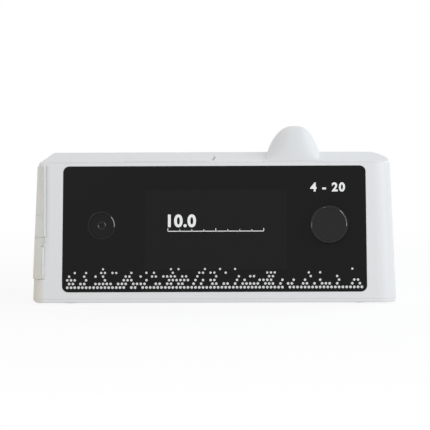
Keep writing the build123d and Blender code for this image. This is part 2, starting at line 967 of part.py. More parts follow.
def joint_edges():
    """Places and levels of the two straight lengths of the joint beside the end cap."""
    yield cap_x, (grip_z, cap_top_z)
    yield cap_x - grip_setback, (ledge_z, grip_z - notch_height - notch_slope)


def cap_piece(z_low, z_high):
    """A hollow piece of the end cap between two levels, open towards the tank."""
    outer = rounded_block(-cap_proud, ledge_z, cap_top_z) & cap_region(0.0)
    outer = outer & slab((-far, far), (-far, far), (z_low, z_high))
    inner = rounded_block(cap_skin - cap_proud, ledge_z, cap_top_z)
    inner = inner & slab((-far, far), (-far, far), around((z_low, z_high), -cap_skin))
    piece = outer - (inner & slab((-far, cap_x + notch_out + 1.0), (-far, far), (-far, far)))
    for x, z in joint_edges():
        piece = piece - edge_cut(x, z, -1, cap_edge_round, cap_proud)
    return piece


def cap_levels():
    return ledge_z + part_gap, grip_z - part_gap / 2, grip_z + part_gap / 2, cap_top_z - part_gap


def skin_boss(y, z):
    """Boss from the cap's skin to the tank's end wall."""
    start = -side_x(z) - cap_proud + cap_skin / 2
    return rod((start, y, z), (1, 0, 0), cap_boss_radius, tank_x[0] - start)


def tank_face():
    _, _, low, high = cap_levels()
    piece = cap_piece(low, high)
    for y in around(tank_y, -cap_boss_inset):
        piece = piece + skin_boss(y, tub_top_z - 8.0)
    groove = slab((-far, far), (-far, far), centred(grip_z + groove_rise, groove_size))
    core = rounded_block(groove_size - cap_proud, ledge_z, cap_top_z)
    return piece - (groove - core)


def tank_grip():
    low, high, _, _ = cap_levels()
    piece = cap_piece(low, high)
    for y in around(tank_y, -cap_boss_inset):
        piece = piece + skin_boss(y, release_z)
    piece = piece - rod((-far, release_y, release_z), (1, 0, 0), release_radius + part_gap, far + cap_x)
    slot_y = centred(release_y, shoe_width + 2 * part_gap)
    return piece - slab(around(shoe_x(), part_gap), slot_y, (low - 1.0, low + cap_skin + 1.0))


def shoe_x():
    return (cap_x - grip_setback - shoe_thick, cap_x - grip_setback)


def tank_tub():
    tub = slab(tank_x, tank_y, (tub_floor_z, tub_top_z))
    room_z = (tub_floor_z + tank_wall, tub_top_z + 1.0)
    tub = tub - slab(around(tank_x, -tank_wall), around(tank_y, -tank_wall), room_z)
    for y in (tank_y[0], tank_y[1] - rail_width):
        tub = tub + slab(tank_x, (y, y + rail_width), (bay_inner_z[0], tub_floor_z))
    size = plate_size + 2 * fine_gap
    floor_z = around((tub_floor_z, tub_floor_z + tank_wall), 1.0)
    return tub - slab(centred(plate_x, size), centred(plate_y, size), floor_z)


def tank_plate():
    low = tub_floor_z - plate_drop
    return slab(centred(plate_x, plate_size), centred(plate_y, plate_size), (low, tub_floor_z + tank_wall))


def tank_seal():
    ring = slab(tank_x, tank_y, (tub_top_z, lid_z))
    hole_z = around((tub_top_z, lid_z), 1.0)
    return ring - slab(around(tank_x, -seal_width), around(tank_y, -seal_width), hole_z)


def tank_lid():
    lid = slab(tank_x, tank_y, (lid_z, tank_top_z))
    room_z = (lid_z - 1.0, tank_top_z - tank_wall)
    lid = lid - slab(around(tank_x, -tank_wall), around(tank_y, -tank_wall), room_z)
    length = tank_wall + nozzle_reach
    for y in air_places():
        lid = lid + rod((tank_x[1] - tank_wall, y, air_z), (1, 0, 0), nozzle_radius, length)
        lid = lid - rod((tank_x[1] - tank_wall - 1.0, y, air_z), (1, 0, 0), nozzle_bore, length + 2.0)
    return lid


def release_button():
    outer = -side_x(release_z) - cap_proud
    inner = outer + cap_skin + part_gap
    start = (outer - release_proud, release_y, release_z)
    button = rod(start, (1, 0, 0), release_radius, inner - outer + release_proud)
    button = fillet(button.edges().group_by(Axis.X)[0], 0.6)
    start = (inner, release_y, release_z)
    button = button + rod(start, (1, 0, 0), release_flange_radius, release_flange)
    stem = shoe_x()[1] - release_travel - inner
    return button + rod(start, (1, 0, 0), release_stem_radius, stem)


def brake_shoe():
    """Sprung friction shoe that stands on the housing's ledge and holds the tank shut."""
    shoe = slab(shoe_x(), centred(release_y, shoe_width), (ledge_z + fine_gap, shoe_top))
    reach = release_stem_radius + part_gap
    slot_z = (release_z - release_travel - reach, release_z + reach)
    return shoe - slab(around(shoe_x(), 1.0), centred(release_y, 2 * reach), slot_z)


# Blower


def volute(z_low, z_high):
    """The blower's scroll casing between two levels."""
    place = (blower_x, blower_y)
    outer = upright(*place, (volute_bottom, volute_top), volute_radius)
    box_y = centred(blower_outlet_y, 2 * outlet_half_width)
    box_z = centred(air_z, 2 * outlet_half_width)
    outer = outer + slab((outlet_box_x, blower_x), box_y, box_z)
    inner_radius = volute_radius - volute_wall
    inner = upright(*place, (volute_bottom + volute_wall, volute_top - volute_wall), inner_radius)
    box = (outlet_box_x + volute_wall, blower_x)
    inner = inner + slab(box, around(box_y, -volute_wall), around(box_z, -volute_wall))
    stub_x = outlet_box_x - stub_length
    start = (stub_x, blower_outlet_y, air_z)
    outer = outer + rod(start, (1, 0, 0), stub_radius, stub_length)
    outer = outer - inner - rod(start, (1, 0, 0), stub_bore, stub_length + volute_wall + 1.0)
    return outer & slab((-far, far), (-far, far), (z_low, z_high))


def volute_lower():
    lower = volute(volute_bottom, air_z)
    for x, y in ear_places():
        ear = upright(x, y, (volute_bottom, volute_bottom + ear_thick), ear_radius)
        reach = ear_reach - volute_radius + volute_wall / 2
        direction = (Vector(x, y, 0) - Vector(blower_x, blower_y, 0)).normalized()
        middle = Vector(x, y, volute_bottom + ear_thick / 2) - direction * (reach / 2)
        place = Plane(origin=middle, x_dir=direction, z_dir=(0, 0, 1)).location
        arm = place * Box(reach, 2 * ear_radius, ear_thick)
        arm = arm - upright(blower_x, blower_y, (volute_bottom, volute_top), volute_radius - volute_wall / 2)
        lower = lower + ear + arm
        hole = upright(x, y, around((volute_bottom, volute_bottom + ear_thick), 1.0), screw_radius + part_gap)
        lower = lower - hole
    wall_z = around((volute_bottom, volute_bottom + volute_wall), 1.0)
    return lower - upright(blower_x, blower_y, wall_z, bearing_radius + fine_gap)


def volute_upper():
    upper = volute(air_z, volute_top)
    eye = upright(blower_x, blower_y, around((volute_top - volute_wall, volute_top), 1.0), eye_radius)
    return upper - eye


def motor_case():
    bottom = volute_bottom - motor_drop
    case = upright(blower_x, blower_y, (bottom, volute_bottom), motor_radius)
    room_z = (bottom + motor_wall, volute_bottom + 1.0)
    case = case - upright(blower_x, blower_y, room_z, motor_radius - motor_wall)
    seat = (bottom, bottom + bearing_height)
    case = case + upright(blower_x, blower_y, seat, bearing_radius + motor_wall)
    return case - upright(blower_x, blower_y, around(seat, 1.0), bearing_radius + fine_gap)


def bearing_levels():
    low = volute_bottom - motor_drop
    high = volute_bottom + volute_wall
    return (low, low + bearing_height), (high - bearing_height, high)


def motor_bearings():
    rings = []
    for z in bearing_levels():
        ring = upright(blower_x, blower_y, z, bearing_radius)
        rings.append(ring - upright(blower_x, blower_y, around(z, 1.0), motor_shaft_radius + fine_gap))
    return Compound(children=rings)


def magnet_z():
    low, high = bearing_levels()
    return low[1] + rotor_gap, high[0] - rotor_gap


def stator():
    ring = upright(blower_x, blower_y, magnet_z(), motor_radius - motor_wall - fine_gap)
    return ring - upright(blower_x, blower_y, around(magnet_z(), 1.0), rotor_radius + rotor_gap)


def rotor_magnet():
    ring = upright(blower_x, blower_y, magnet_z(), rotor_radius)
    return ring - upright(blower_x, blower_y, around(magnet_z(), 1.0), motor_shaft_radius)


def impeller_z():
    low = volute_bottom + volute_wall + impeller_lift
    return low, low + impeller_plate, low + impeller_height


def motor_shaft():
    low = volute_bottom - motor_drop + shaft_inset
    return upright(blower_x, blower_y, (low, impeller_z()[2]), motor_shaft_radius)


def impeller():
    low, plate, high = impeller_z()
    wheel = upright(blower_x, blower_y, (low, plate), impeller_radius)
    wheel = wheel + upright(blower_x, blower_y, (low, high), hub_radius)
    length = impeller_radius - hub_radius
    for index in range(blade_count):
        angle = 360.0 * index / blade_count
        place = Pos(hub_radius + length / 2 - blade_thick, -blade_offset, (low + high) / 2)
        blade = place * Box(length, blade_thick, high - low)
        wheel = wheel + Pos(blower_x, blower_y, 0) * Rot(0, 0, angle) * blade
    return wheel - upright(blower_x, blower_y, (low - 1.0, high + 1.0), motor_shaft_radius)


def blower_grommets():
    rings = []
    for x, y in ear_places():
        z = (volute_bottom - grommet_height, volute_bottom)
        rings.append(upright(x, y, z, ear_radius) - upright(x, y, around(z, 1.0), screw_radius + part_gap))
    return Compound(children=rings)


def blower_hose():
    length = outlet_box_x - stub_length + hose_lap - bay_end_x
    start = (bay_end_x, blower_outlet_y, air_z)
    hose = rod(start, (1, 0, 0), duct_radius, length)
    bore_start = (bay_end_x - 1.0, blower_outlet_y, air_z)
    return hose - rod(bore_start, (1, 0, 0), stub_radius + fine_gap, length + 2.0)


# Outlet


def outlet_duct():
    end_y = back_inner_y - port_flange
    corners = [(hood_x, outlet_y, air_z), (hood_x, outlet_y, port_z)]
    duct = pipe([(bay_end_x, outlet_y, air_z), *corners, (hood_x, end_y, port_z)], duct_radius)
    first = (bay_end_x - 1.0, outlet_y, air_z)
    last = (hood_x, end_y + 1.0, port_z)
    return duct - pipe([first, *corners, last], duct_bore)


def outlet_port():
    flange_y = back_inner_y - port_flange
    start = (hood_x, flange_y, port_z)
    port = rod(start, (0, 1, 0), port_radius, back_y + port_reach - flange_y)
    port = port + rod(start, (0, 1, 0), port_root_radius, port_flange + wall + port_boss)
    port = port + rod(start, (0, 1, 0), port_flange_radius, port_flange)
    return port - rod((hood_x, flange_y - 1.0, port_z), (0, 1, 0), port_bore, far)


# Inlet


def muffler_box():
    x = centred(filter_x, filter_width + 2 * muffler_wall)
    z = centred(filter_z, filter_height + 2 * muffler_wall)
    y = (back_inner_y - muffler_depth, back_inner_y)
    box = slab(x, y, z)
    box = box - slab(around(x, -muffler_wall), (y[0] + muffler_wall, y[1] + 1.0), around(z, -muffler_wall))
    grid_y = (y[1] - filter_pad - muffler_wall, y[1] - filter_pad)
    for index in (-1, 0, 1):
        bar_x = centred(filter_x + index * filter_width / 4, muffler_wall)
        box = box + slab(bar_x, grid_y, around(z, -muffler_wall / 2))
    start = (filter_x, y[0] - 1.0, filter_z)
    return box - rod(start, (0, 1, 0), eye_radius - 2.0, muffler_wall + 2.0)


def muffler_foam_pad():
    y = (back_inner_y - muffler_depth + muffler_wall, back_inner_y - filter_pad - muffler_wall)
    x = centred(filter_x, filter_width)
    low = filter_z - filter_height / 2
    return slab(x, y, (low, low + muffler_foam))


def inlet_filter():
    y = (back_inner_y - filter_pad, back_inner_y)
    size = (filter_width - 2 * part_gap, filter_height - 2 * part_gap)
    return slab(centred(filter_x, size[0]), y, centred(filter_z, size[1]))


def flap(x, z, width, height, slots):
    """A hinged flap that fills an opening in the rear wall, with its two hinge pins."""
    thick = flap_thick
    y = back_y - thick / 2
    top = z + height / 2 - flap_gap - thick / 2
    low = z - height / 2 + flap_gap
    wide = centred(x, width - 2 * flap_gap)
    plate = slab(wide, centred(y, thick), (low, top))
    barrel_start = (wide[0], y, top)
    plate = plate + rod(barrel_start, (1, 0, 0), thick / 2, wide[1] - wide[0])
    pin = (wide[0] - flap_pin_length, y, top)
    plate = plate + rod(pin, (1, 0, 0), flap_pin_radius, wide[1] - wide[0] + 2 * flap_pin_length)
    for index in range(slots):
        level = low + louvre_margin + index * (height - 2 * louvre_margin) / slots
        slot_z = (level, level + louvre_width)
        plate = plate - slab(around(wide, -louvre_margin), around(centred(y, thick), 1.0), slot_z)
    return plate


def filter_cover():
    return flap(filter_x, filter_z, filter_width, filter_height, louvre_count)


def sd_door():
    return flap(slot_x, slot_mid_z(), slot_flap_width, slot_flap_height, 0)


# Rear electronics


def main_board():
    board = slab(main_board_x, main_board_y, (main_board_z, main_board_z + board_thick))
    for x, y in board_post_places():
        hole_z = around((main_board_z, main_board_z + board_thick), 1.0)
        board = board - upright(x, y, hole_z, screw_radius + part_gap)
    return board


def dc_jack():
    low = main_board_z + board_thick
    y = (back_inner_y - jack_depth, back_inner_y)
    body = slab(centred(jack_x, jack_width), y, (low, low + jack_height))
    body = body - rod((jack_x, y[0] + jack_back, jack_mid_z()), (0, 1, 0), jack_bore, far)
    pin_start = (jack_x, y[0] + jack_back / 2, jack_mid_z())
    return body + rod(pin_start, (0, 1, 0), jack_pin_radius, jack_depth - 1.5 * jack_back)


def sd_slot():
    low = main_board_z + board_thick
    y = (back_inner_y - flap_gap - slot_depth, back_inner_y - flap_gap)
    body = slab(centred(slot_x, slot_width), y, (low, low + slot_height))
    inside_x = centred(slot_x, slot_width - 2 * slot_sheet)
    return body - slab(inside_x, (y[0] + slot_sheet, far), around((low, low + slot_height), -slot_sheet))


def flow_sensor():
    x = (bay_end_x, bay_end_x + sensor_size[0])
    return slab(x, centred(sensor_y, sensor_size[1]), centred(air_z, sensor_size[2]))


def sensor_tube():
    x = bay_end_x + sensor_size[0]
    bend = x + tube_lead
    end = outlet_y - duct_radius
    return pipe([(x, sensor_y, air_z), (bend, sensor_y, air_z), (bend, end, air_z)], tube_radius)


PIECES = {
    "base_tray": base_tray,
    "rubber_feet": rubber_feet,
    "case_screws": case_screws,
    "housing": housing,
    "outlet_hood": outlet_hood,
    "fascia_panel": fascia_panel,
    "display_lens": display_lens,
    "display_gasket": display_gasket,
    "display_module": display_module,
    "front_carrier": front_carrier,
    "control_board": control_board,
    "small_screws": small_screws,
    "button_ring": button_ring,
    "power_button": power_button,
    "power_switch": power_switch,
    "encoder_body": encoder_body,
    "encoder_nut": encoder_nut,
    "encoder_plunger": encoder_plunger,
    "encoder_shaft": encoder_shaft,
    "knob": knob,
    "knob_cap": knob_cap,
    "ribbon_cables": ribbon_cables,
    "tank_bay": tank_bay,
    "inlet_seal": lambda: air_seal(blower_outlet_y),
    "outlet_seal": lambda: air_seal(outlet_y),
    "heater_plate": heater_plate,
    "heater_film": heater_film,
    "heater_insulation": heater_insulation,
    "heater_frame": heater_frame,
    "tank_face": tank_face,
    "tank_grip": tank_grip,
    "tank_tub": tank_tub,
    "tank_plate": tank_plate,
    "tank_seal": tank_seal,
    "tank_lid": tank_lid,
    "release_button": release_button,
    "brake_shoe": brake_shoe,
    "volute_lower": volute_lower,
    "volute_upper": volute_upper,
    "motor_case": motor_case,
    "motor_bearings": motor_bearings,
    "stator": stator,
    "rotor_magnet": rotor_magnet,
    "motor_shaft": motor_shaft,
    "impeller": impeller,
    "blower_grommets": blower_grommets,
    "blower_hose": blower_hose,
    "outlet_duct": outlet_duct,
    "outlet_port": outlet_port,
    "muffler_box": muffler_box,
    "muffler_foam": muffler_foam_pad,
    "inlet_filter": inlet_filter,
    "filter_cover": filter_cover,
    "sd_door": sd_door,
    "main_board": main_board,
    "dc_jack": dc_jack,
    "sd_slot": sd_slot,
    "flow_sensor": flow_sensor,
    "sensor_tube": sensor_tube,
}

os.makedirs("parts", exist_ok=True)
for name, make in PIECES.items():
    export_step(make(), f"parts/{name}.step")
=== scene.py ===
"""Finishes, printed marks, light and camera for the bedside breathing machine.

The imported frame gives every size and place. The hood, the knob, the power button, the lips and
beads of the end cap and the print on the leaning front are modelled here.
"""

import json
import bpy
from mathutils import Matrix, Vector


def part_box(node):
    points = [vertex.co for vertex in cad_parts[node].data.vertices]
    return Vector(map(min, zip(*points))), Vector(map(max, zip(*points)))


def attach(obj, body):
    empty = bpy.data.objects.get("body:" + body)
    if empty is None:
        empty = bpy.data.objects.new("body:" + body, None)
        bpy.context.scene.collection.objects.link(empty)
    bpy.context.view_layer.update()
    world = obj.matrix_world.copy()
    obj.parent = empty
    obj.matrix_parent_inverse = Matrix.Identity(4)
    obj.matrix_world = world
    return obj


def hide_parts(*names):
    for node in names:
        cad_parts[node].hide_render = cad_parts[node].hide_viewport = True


bl_info = {
    "name": "Breathing machine finishes",
    "version": (1, 0, 0),
    "blender": (4, 5, 0),
    "location": "View3D > Sidebar > Breathing machine",
    "description": "Dresses the packed breathing machine and sets up its studio",
    "category": "Object",
}

import bmesh
import bpy
import numpy as np
from bpy.props import FloatProperty, FloatVectorProperty, IntProperty, PointerProperty, StringProperty
from mathutils import Matrix, Vector

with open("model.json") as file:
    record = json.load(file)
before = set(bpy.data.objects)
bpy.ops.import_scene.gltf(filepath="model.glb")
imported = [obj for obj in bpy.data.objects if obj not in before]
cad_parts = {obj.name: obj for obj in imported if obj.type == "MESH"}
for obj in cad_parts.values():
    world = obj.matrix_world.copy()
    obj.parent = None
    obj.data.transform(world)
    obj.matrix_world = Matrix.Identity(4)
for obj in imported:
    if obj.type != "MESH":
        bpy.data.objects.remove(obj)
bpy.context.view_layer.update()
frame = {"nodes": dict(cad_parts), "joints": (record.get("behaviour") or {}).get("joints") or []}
NODES = frame["nodes"]
JOINTS = {joint["name"]: joint for joint in frame["joints"]}

# The leaning front's own directions, from the knob's axis, and the line of the two controls
OUT = np.array(JOINTS["knob_turn"]["axis"], float)
RIGHT = np.array((1.0, 0.0, 0.0))
UP = np.cross(OUT, RIGHT)
KNOB_CENTRE = np.array(JOINTS["knob_turn"]["pos_m"], float)
CONTROL_LINE = KNOB_CENTRE * (0.0, 1.0, 1.0)

MM = 0.001
MERGE_DISTANCE = 1e-7
SHARP_ANGLE = np.radians(50.0)
INK_BED = -0.01 * MM  # the underside of the ink, a hair below the front's surface


def linear(hex_colour):
    """Linear RGBA of an sRGB hex colour: below 0.04045 divided by 12.92, above it the 2.4 power law."""
    values = [int(hex_colour[place : place + 2], 16) / 255 for place in (0, 2, 4)]
    return [v / 12.92 if v <= 0.04045 else ((v + 0.055) / 1.055) ** 2.4 for v in values] + [1.0]


def shaded(colour, share):
    """A colour made darker, or above 1 lighter, by a share."""
    return [value * share for value in colour[:3]] + [1.0]


def corners(node):
    """The lowest and the highest corner of a node's box."""
    low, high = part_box(node)
    return np.array(low), np.array(high)


def on_front(u, v, w):
    """Points of the leaning front: u to the right, v up the slope from the controls' line, w outwards."""
    u, v, w = (np.asarray(value, float)[..., None] for value in (u, v, w))
    return CONTROL_LINE + u * RIGHT + v * UP + w * OUT


def up_the_front(z, w=0.0):
    """How far up the slope from the controls' line a height z lies, at depth w."""
    return (z - CONTROL_LINE[2] - w * OUT[2]) / UP[2]


def face_depth(high, radius):
    """Depth of a round piece's outer face, from its box's highest corner and its radius."""
    return (high[2] - CONTROL_LINE[2] - radius * UP[2]) / OUT[2]


# Mesh helpers


def grid_faces(rows, columns, closed=False):
    """Quads between neighbours of a grid, row by row; closed joins the last column to the first."""
    across = np.arange(columns if closed else columns - 1)
    row, column = np.meshgrid(np.arange(rows - 1), across, indexing="ij")
    after = (column + 1) % columns
    this, following = row * columns, (row + 1) * columns
    quads = (this + column, this + after, following + after, following + column)
    return np.stack(quads, -1).reshape(-1, 4)


def make_piece(name, points, faces, finish, body, smooth=True):
    """A piece from arrays of points and faces, merged, turned outwards and riding on a body."""
    mesh = bpy.data.meshes.new(name)
    points = np.asarray(points, float).reshape(-1, 3)
    mesh.from_pydata(points.tolist(), [], [list(map(int, face)) for face in faces])
    return finish_piece(name, mesh, finish, body, smooth)


def finish_piece(name, mesh, finish, body, smooth=True):
    """Merges a mesh's doubles, turns its faces outwards, shades it and lets it ride on a body."""
    edit = bmesh.new()
    edit.from_mesh(mesh)
    bmesh.ops.remove_doubles(edit, verts=edit.verts, dist=MERGE_DISTANCE)
    bmesh.ops.recalc_face_normals(edit, faces=edit.faces)
    edit.to_mesh(mesh)
    edit.free()
    mesh.polygons.foreach_set("use_smooth", np.full(len(mesh.polygons), smooth))
    if smooth:
        mesh.set_sharp_from_angle(angle=SHARP_ANGLE)
    mesh.materials.clear()
    mesh.materials.append(finish)
    piece = bpy.data.objects.new(name, mesh)
    bpy.context.scene.collection.objects.link(piece)
    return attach(piece, body)


def turned(profile, centre_u, sides=96):
    """Carries a profile of (radius, depth) once round the front's outward axis through centre_u, 0."""
    profile = np.asarray(profile, float)
    turn = np.linspace(0.0, 2 * np.pi, sides, endpoint=False)
    radius, depth = profile[:, 0, None], profile[:, 1, None]
    u = centre_u + radius * np.cos(turn)
    v = radius * np.sin(turn)
    return on_front(u, v, depth + 0 * turn), grid_faces(len(profile), sides, closed=True)


def rounded(points, radius):
    """A profile with rounded inner corners: each is a quadratic curve between points a radius away."""
    points = np.asarray(points, float)
    out = [points[:1]]
    share = np.linspace(0.0, 1.0, 6)[:, None]
    for before, corner, after in zip(points, points[1:], points[2:]):
        to_before, to_after = before - corner, after - corner
        reach = min(radius, np.linalg.norm(to_before) / 2, np.linalg.norm(to_after) / 2)
        start = corner + to_before / np.linalg.norm(to_before) * reach
        end = corner + to_after / np.linalg.norm(to_after) * reach
        out.append((1 - share) ** 2 * start + 2 * share * (1 - share) * corner + share**2 * end)
    out.append(points[-1:])
    return np.concatenate(out)


def bead_piece(name, path, radius, depth, finish, body):
    """A round bead on the front: a circle carried along a path, drawn in to a point at both ends."""
    path = np.asarray(path, float)
    along = np.gradient(path, axis=0)
    along /= np.linalg.norm(along, axis=1, keepdims=True)
    across = np.stack([-along[:, 1], along[:, 0]], -1)
    swell = np.ones(len(path))
    swell[[0, -1]] = 0.0
    turn = np.linspace(0.0, 2 * np.pi, 12, endpoint=False)
    side = radius * swell[:, None] * np.cos(turn)
    rise = radius * swell[:, None] * np.sin(turn)
    u = path[:, 0, None] + across[:, 0, None] * side
    v = path[:, 1, None] + across[:, 1, None] * side
    faces = grid_faces(len(path), len(turn), closed=True)
    return make_piece(name, on_front(u, v, depth + rise), faces, finish, body)


# Materials


def add(tree, kind, inputs=None, **settings):
    """Adds a node: settings are its properties, inputs its values or the sockets that feed it."""
    node = tree.nodes.new(kind)
    for name, value in settings.items():
        setattr(node, name, value)
    for name, value in (inputs or {}).items():
        if isinstance(value, bpy.types.NodeSocket):
            tree.links.new(value, node.inputs[name])
        else:
            node.inputs[name].default_value = value
    return node


def new_material(name, colour, roughness, ior=1.5, **sockets):
    """A material with only a shader and an output in its tree, and the uniform values on the shader."""
    material = bpy.data.materials.new(name)
    material.use_nodes = True
    tree = material.node_tree
    tree.nodes.clear()
    values = {"Base Color": colour, "Roughness": roughness, "IOR": ior}
    values.update({key.replace("_", " "): value for key, value in sockets.items()})
    shader = add(tree, "ShaderNodeBsdfPrincipled", values)
    add(tree, "ShaderNodeOutputMaterial", {"Surface": shader.outputs[0]})
    return material, tree, shader


def grained(material, tree, shader, colour, grain_mm, depth_mm, tint, gloss, cloud_mm=30.0):
    """Moulding marks: a fine grain as bump, and slow clouds in tint and roughness."""
    place = add(tree, "ShaderNodeTexCoord").outputs["Object"]
    fine = {"Vector": place, "Scale": 1 / (grain_mm * MM), "Detail": 3.0}
    grain = add(tree, "ShaderNodeTexNoise", fine)
    height = {"Height": grain.outputs["Fac"], "Distance": depth_mm * MM, "Strength": 1.0}
    bump = add(tree, "ShaderNodeBump", height)
    tree.links.new(bump.outputs[0], shader.inputs["Normal"])
    slow = {"Vector": place, "Scale": 1 / (cloud_mm * MM), "Detail": 2.0}
    cloud = add(tree, "ShaderNodeTexNoise", slow)
    tints = {"Factor": cloud.outputs["Fac"], "A": shaded(colour, 1 - tint), "B": colour}
    mix = add(tree, "ShaderNodeMix", tints, data_type="RGBA")
    tree.links.new(mix.outputs["Result"], shader.inputs["Base Color"])
    glosses = {"Value": cloud.outputs["Fac"], "To Min": gloss[0], "To Max": gloss[1]}
    spread = add(tree, "ShaderNodeMapRange", glosses)
    tree.links.new(spread.outputs[0], shader.inputs["Roughness"])
    return material


def tinted(tree, shader, zones):
    """Lays tints over the base colour, one after the other.

    A zone is a tint and its fades: (measure, start, end, most), a smooth step from nought at the
    start to most at the end. The product of its fades is the tint's share.
    """
    tone = shader.inputs["Base Color"].links[0].from_socket
    for tint, fades in zones:
        share = 1.0
        for measure, start, end, most in fades:
            step = {"Value": measure, "From Min": start, "From Max": end, "To Max": most}
            fade = add(tree, "ShaderNodeMapRange", step, interpolation_type="SMOOTHSTEP").outputs[0]
            share = add(tree, "ShaderNodeMath", {0: fade, 1: share}, operation="MULTIPLY").outputs[0]
        mix = add(tree, "ShaderNodeMix", {"Factor": share, "A": tone, "B": tint}, data_type="RGBA")
        tone = mix.outputs["Result"]
    tree.links.new(tone, shader.inputs["Base Color"])


def case_abs(colour, warm_shaded_tone):
    """Injection moulded white ABS with a fine spark-eroded texture: satin, soft highlights.

    Under the tank's end cap the case fades to a warmer, darker tone down to the floor: painted shade of
    the left end, which turns away from the lamps. Along the cap's joint it is greyed by painted shade of
    the edge that rounds in there, a fine grey line marks the joint between tray and case, and the tray's
    sole is darker, a painted shade along its foot.
    """
    name = "white_abs_spark_texture"
    material, tree, shader = new_material(name, colour, 0.42, Specular_IOR_Level=0.38)
    grained(material, tree, shader, colour, 0.35, 0.006, 0.015, (0.38, 0.46))
    place = add(tree, "ShaderNodeTexCoord").outputs["Object"]
    axis = add(tree, "ShaderNodeSeparateXYZ", {0: place}).outputs
    foot = corners("tank_grip")[0][2]
    joint, top = corners("tank_face")[1][[0, 2]]
    seam, sole = corners("housing")[0][2], corners("base_tray")[0][2]
    above_seam = add(tree, "ShaderNodeMath", {0: axis["Z"], 1: seam}, operation="SUBTRACT").outputs[0]
    off_seam = add(tree, "ShaderNodeMath", {0: above_seam}, operation="ABSOLUTE").outputs[0]
    grey = shaded(colour, 0.5)
    # A warmer, darker tone under the end cap: painted shade of the left end, which turns away from the
    # lamps
    shaded_tone_under_cap = (
        (axis["X"], joint + 0.5 * MM, joint - 4.5 * MM, 1.0),
        (axis["Z"], foot + 0.2 * MM, foot - 0.2 * MM, 1.0),
    )
    # Grey along the cap's joint: painted shade of the case's edge, which rounds away from the light there
    painted_shade_beside_cap = (
        (axis["X"], joint + 4.0 * MM, joint, 0.38),
        (axis["Z"], foot - 3.0 * MM, top - 20.0 * MM, 1.0),
        (axis["Z"], top + 1.5 * MM, top - 1.0 * MM, 1.0),
    )
    along_seam = ((off_seam, 0.5 * MM, 0.1 * MM, 0.2),)
    # Darker at the tray's sole: a painted shade along the foot
    painted_shade_at_sole = ((axis["Z"], sole + 0.9 * MM, sole + 0.2 * MM, 0.4),)
    tinted(tree, shader, ((warm_shaded_tone, shaded_tone_under_cap), (grey, painted_shade_beside_cap), (grey, along_seam), (grey, painted_shade_at_sole)))
    return material


def cap_polycarbonate(colour, warm_shaded_tone):
    """Moulded smoky polycarbonate: glossier than the case and a little milky.

    Towards its foot it fades to the warmer, darker tone, painted shade of the left end, and it is darker
    towards the joint.
    """
    material, tree, shader = new_material(
        "polycarbonate_cap_shaded_tone", colour, 0.3, 1.58, Subsurface_Weight=0.15, Subsurface_Scale=0.003
    )
    grained(material, tree, shader, colour, 0.8, 0.004, 0.04, (0.25, 0.36))
    place = add(tree, "ShaderNodeTexCoord").outputs["Object"]
    axis = add(tree, "ShaderNodeSeparateXYZ", {0: place}).outputs
    low, high = corners("tank_grip")
    # Towards the foot: the warmer, darker tone of painted shade
    to_foot = ((axis["Z"], high[2] + 8.0 * MM, low[2] + 4.0 * MM, 1.0),)
    to_joint = ((axis["X"], low[0] + 2.5 * MM, high[0] - 0.5 * MM, 0.6),)
    tinted(tree, shader, ((warm_shaded_tone, to_foot), (shaded(colour, 0.7), to_joint)))
    return material


def painted_highlight_lip(colour):
    """Near-white, faintly translucent polycarbonate for the lips in the cap's joint: its pale colour is a
    painted highlight, the bright line along the cap's edge.
    """
    material, tree, shader = new_material(
        "near_white_lip_painted_highlight", colour, 0.25, 1.58, Subsurface_Weight=0.3, Subsurface_Scale=0.002
    )
    return grained(material, tree, shader, colour, 1.0, 0.002, 0.02, (0.2, 0.3))


def fascia_acrylic(colour):
    """Back-painted acrylic sheet: deep black under a coated face that shines only faintly."""
    name = "black_acrylic_coated"
    material, tree, shader = new_material(name, colour, 0.12, 1.49, Specular_IOR_Level=0.16)
    return grained(material, tree, shader, colour, 12.0, 0.004, 0.1, (0.1, 0.16), 45.0)


def lens_acrylic(colour):
    """Smoked display window: the same sheet, a shade lighter where the screen lies behind it."""
    name = "smoked_acrylic_window"
    material, tree, shader = new_material(name, colour, 0.09, 1.49, Specular_IOR_Level=0.18)
    return grained(material, tree, shader, colour, 15.0, 0.003, 0.06, (0.08, 0.12), 60.0)


def gloss_moulding(name, colour, roughness, level):
    """Black ABS from a polished tool: mirror-like with slight orange peel."""
    material, tree, shader = new_material(name, colour, roughness, 1.49, Specular_IOR_Level=level)
    return grained(material, tree, shader, colour, 2.5, 0.002, 0.1, (roughness - 0.03, roughness + 0.04))


def soft_touch(name, colour):
    """Soft-touch lacquer on ABS: even and matt, with a fine dust-like grain."""
    material, tree, shader = new_material(name, colour, 0.6, 1.45, Specular_IOR_Level=0.25)
    return grained(material, tree, shader, colour, 0.25, 0.006, 0.08, (0.55, 0.66))


def plain_moulding(name, colour, roughness=0.5):
    """Unpainted technical moulding: matt, with a coarse eroded grain."""
    material, tree, shader = new_material(name, colour, roughness)
    return grained(material, tree, shader, colour, 0.5, 0.01, 0.08, (roughness - 0.06, roughness + 0.06))


def rubber(name, colour):
    """Moulded elastomer: matt, with a pale bloom in clouds."""
    material, tree, shader = new_material(name, colour, 0.8, 1.52)
    return grained(material, tree, shader, colour, 0.4, 0.012, 0.15, (0.7, 0.8), 8.0)


def silicone(name, colour):
    """Translucent moulded silicone: milky, softly shiny."""
    material, tree, shader = new_material(
        name, colour, 0.45, 1.41, Subsurface_Weight=0.4, Subsurface_Scale=0.004
    )
    return grained(material, tree, shader, colour, 1.2, 0.006, 0.06, (0.4, 0.52))


def clear_polycarbonate(name, colour):
    """Clear moulded polycarbonate: see-through walls with slight flow marks."""
    material, tree, shader = new_material(name, colour, 0.06, 1.58, Transmission_Weight=0.9)
    return grained(material, tree, shader, colour, 9.0, 0.004, 0.02, (0.04, 0.1))


